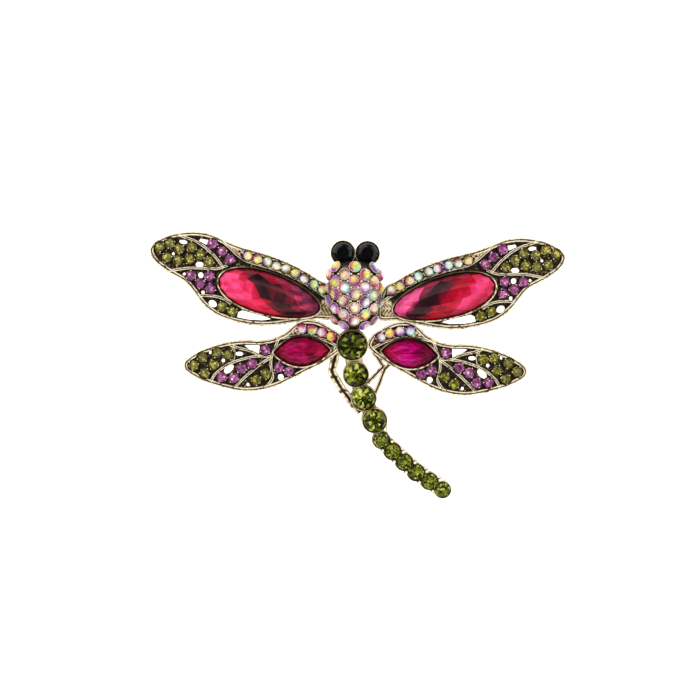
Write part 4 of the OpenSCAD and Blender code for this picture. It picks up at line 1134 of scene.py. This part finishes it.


# Tones of the large stones in slanting bands, painted reflections laid out as in a stone cut in lozenges.
# A band's place is the share along, from the inner end at -1 to the outer end at 1, less "slant" times the
# share across. "other" turns to the glass's second hue, and "sides" has the painted tones of the lower and
# the upper edge.
shine = {
    "ruby_left": {
        "slant": 0.6, "cross": 0.2, "sides": (0.5, 0.44),
        "bands": [(-1.1, 0.36), (-0.7, 0.46), (-0.45, 0.34), (-0.25, 0.2), (-0.02, 0.07), (0.1, 0.14),
                  (0.18, 0.5), (0.38, 0.6), (0.46, 0.88), (0.95, 0.93), (1.2, 0.8)],
        "other": [(-0.9, 0.9), (-0.6, 0.4), (-0.3, 0)]},
    "ruby_right": {
        "slant": 0.55, "cross": 0.04, "sides": (0.46, 0.4),
        "bands": [(-1.3, 0.74), (-1, 0.88), (-0.72, 0.92), (-0.65, 0.55), (-0.57, 0.1), (-0.2, 0.08),
                  (-0.1, 0.4), (0.05, 0.5), (0.38, 0.52), (0.48, 0.84), (0.78, 0.8), (0.9, 0.6),
                  (1.2, 0.44)],
        "other": [(-0.72, 1), (-0.58, 0.4), (-0.2, 0), (0.4, 0), (0.6, 0.6), (0.9, 0.2)]},
    "marquise_left": {
        "slant": 0, "cross": 0.08, "sides": (0.3, 0.36),
        "bands": [(-1, 0.3), (-0.8, 0.62), (-0.56, 0.56), (-0.4, 0.2), (-0.22, 0.56), (0.2, 0.54),
                  (0.6, 0.52), (0.8, 0.36), (1, 0.1)],
        "other": [(-0.9, 0.9), (-0.4, 0.5), (0.3, 0.35), (1, 0.6)]},
    "marquise_right": {
        "slant": 0, "cross": 0.04, "sides": (0.36, 0.24),
        "bands": [(-1, 0.36), (-0.7, 0.52), (-0.35, 0.84), (0.05, 0.78), (0.4, 0.42), (1, 0.14)],
        "other": [(-0.95, 1), (-0.5, 0.3), (-0.2, 0)]},
}


def bandsAt(hints, name, at):
    # The bands' own tone, or share of the other hue, at points of the stone.
    return np.interp(at[..., 0] - hints["slant"] * at[..., 1], *np.transpose(hints[name]))


# How the lozenges of a large stone are cut and toned, in shares of its half length and half width.
lozenges = {"apart": 0.46, "lean": 0.8, "edgeFrom": 0.6, "edgeTo": 0.8, "edgeShare": 0.7,
    "even": 0.6, "backDark": 0.2, "endPull": 1.25}


def longTone(hints, at):
    # The band's tone, crossed by sine bands the other way that make the lozenges. Towards the lower and
    # the upper edge it goes a share of the way to the tone painted for that edge.
    slanting = at[..., 0] + lozenges["lean"] * at[..., 1]
    tone = bandsAt(hints, "bands", at) + hints["cross"] * np.sin(2 * np.pi * slanting / lozenges["apart"])
    for edge, way in zip(hints["sides"], (-1, 1)):
        near = (way * at[..., 1] - lozenges["edgeFrom"]) / (lozenges["edgeTo"] - lozenges["edgeFrom"])
        tone += lozenges["edgeShare"] * (edge - tone) * np.clip(near, 0, 1)
    return tone


def longStone(node, stone):
    # The outline drawn in ring by ring, by about as much at the ends as at the sides.
    corners, facets, level = ringCut(stone["rings"], stone["sides"], across=stone is ruby)
    turn, share, height = corners.T
    pull = lozenges["endPull"] * stone["width"] / stone["length"]
    u, v = outlineOf(stone, turn)
    at = np.stack([u * (1 - (1 - share) * pull) * (share > 0), v * share], 1)
    shape = np.column_stack([at * [stone["length"] / 2, stone["width"] / 2],
                             height * np.where(height > 0, stone["height"], stone["depth"])])
    middle, turned = wingPlace(stone, brooch["floor"] + stone["depth"] + brooch["stoneFit"])
    placed = shape @ turned.T + middle
    # Two triangles on each side of a ring's edge form one lozenge and share their tone. The lozenge is
    # known by that edge: the two corners of the triangle that lie in one ring.
    ring = facets // stone["sides"]
    pair = np.array([sorted(f[r == np.bincount(r).argmax()][:2]) for f, r in zip(facets, ring)])
    known, lozenge = np.unique(pair, axis=0, return_inverse=True)
    lozenge = lozenge.reshape(-1)
    spot = (at[known[:, 0]] + at[known[:, 1]]) / 2
    if node.endswith("left"):
        placed, facets = placed * [-1, 1, 1], facets[:, ::-1]
    hints, kind = shine[node], stone["kind"]
    # A share "even" of a facet's tone is its lozenge's, and the rest changes smoothly over its corners.
    even, back = lozenges["even"], level == level.max()
    tone = longTone(hints, spot) + draw.uniform(-1, 1, len(known)) * stone["noise"]
    tones = even * tone[lozenge][:, None] + (1 - even) * longTone(hints, at[facets]) \
        - lozenges["backDark"] * back[:, None]
    other = bandsAt(hints, "other", spot)[lozenge][:, None, None]
    tints = (1 - other) * shades(glasses[kind]["stops"], tones) \
        + other * shades(glasses[kind]["other"], tones)
    addStones(node, kind, placed[None], facets, tints[None])


for side in ("left", "right"):
    longStone(f"ruby_{side}", ruby)
    longStone(f"marquise_{side}", marquise)


# A white light table, soft lights round it, and the camera straight above.
studio = {"table": "#FAFAFA", "half": 3, "tableRough": 0.7, "glow": 0.9, "white": "#FFFFFF",
    "worldStrength": 0.1,
    "camera": {"x": -1.0, "y": 2.76, "height": 500, "plane": 5, "view": 120.6, "roll": 1.1,
               "sensor": 36, "clip": (0.01, 10)},
    "lights": [
        {"name": "keyLight", "at": (-0.45, 0.4, 0.6), "size": (1.3, 1.3), "watts": 8.2},
        {"name": "fillLight", "at": (0.6, 0.15, 0.55), "size": (1.2, 1.0), "watts": 5.0},
        {"name": "frontLight", "at": (0.05, -0.6, 0.5), "size": (1.4, 0.8), "watts": 5.0}]}

half = studio["half"]
tableMesh = bpy.data.meshes.new("table")
tableMesh.from_pydata([(-half, -half, 0), (half, -half, 0), (half, half, 0), (-half, half, 0)], [],
                      [(0, 1, 2, 3)])
table = bpy.data.objects.new("table", tableMesh)
bpy.context.scene.collection.objects.link(table)
tableMaterial, tree = newMaterial("whiteTable")
tableShader = addNode(tree, "ShaderNodeBsdfPrincipled",
                      {"Base Color": studio["table"], "Roughness": studio["tableRough"],
                       "Emission Color": studio["white"], "Emission Strength": studio["glow"]})
addNode(tree, "ShaderNodeOutputMaterial", {}, {"Surface": tableShader.outputs[0]})
tableMesh.materials.append(tableMaterial)

world = bpy.data.worlds.new("studioWorld")
world.use_nodes = True
world.node_tree.nodes["Background"].inputs["Color"].default_value = linear(studio["white"])
world.node_tree.nodes["Background"].inputs["Strength"].default_value = studio["worldStrength"]
bpy.context.scene.world = world

for light in studio["lights"]:
    lamp = bpy.data.lights.new(light["name"], "AREA")
    lamp.shape, lamp.energy = "RECTANGLE", light["watts"]
    lamp.size, lamp.size_y = light["size"]
    holder = bpy.data.objects.new(light["name"], lamp)
    holder.location = light["at"]
    holder.rotation_euler = (-holder.location).to_track_quat("-Z", "Y").to_euler()
    bpy.context.scene.collection.objects.link(holder)

shot = studio["camera"]
lens = bpy.data.cameras.new("camera")
lens.sensor_width = shot["sensor"]
# The view is the width in millimetres that the picture shows at the brooch's height.
lens.lens = shot["sensor"] * (shot["height"] - shot["plane"]) / shot["view"]
lens.clip_start, lens.clip_end = shot["clip"]
camera = bpy.data.objects.new("camera", lens)
camera.location = (shot["x"] * mm, shot["y"] * mm, shot["height"] * mm)
camera.rotation_euler = (0, 0, np.radians(shot["roll"]))
bpy.context.scene.collection.objects.link(camera)
bpy.context.scene.camera = camera
bpy.context.scene.view_settings.view_transform = "Standard"
print("studio ready")
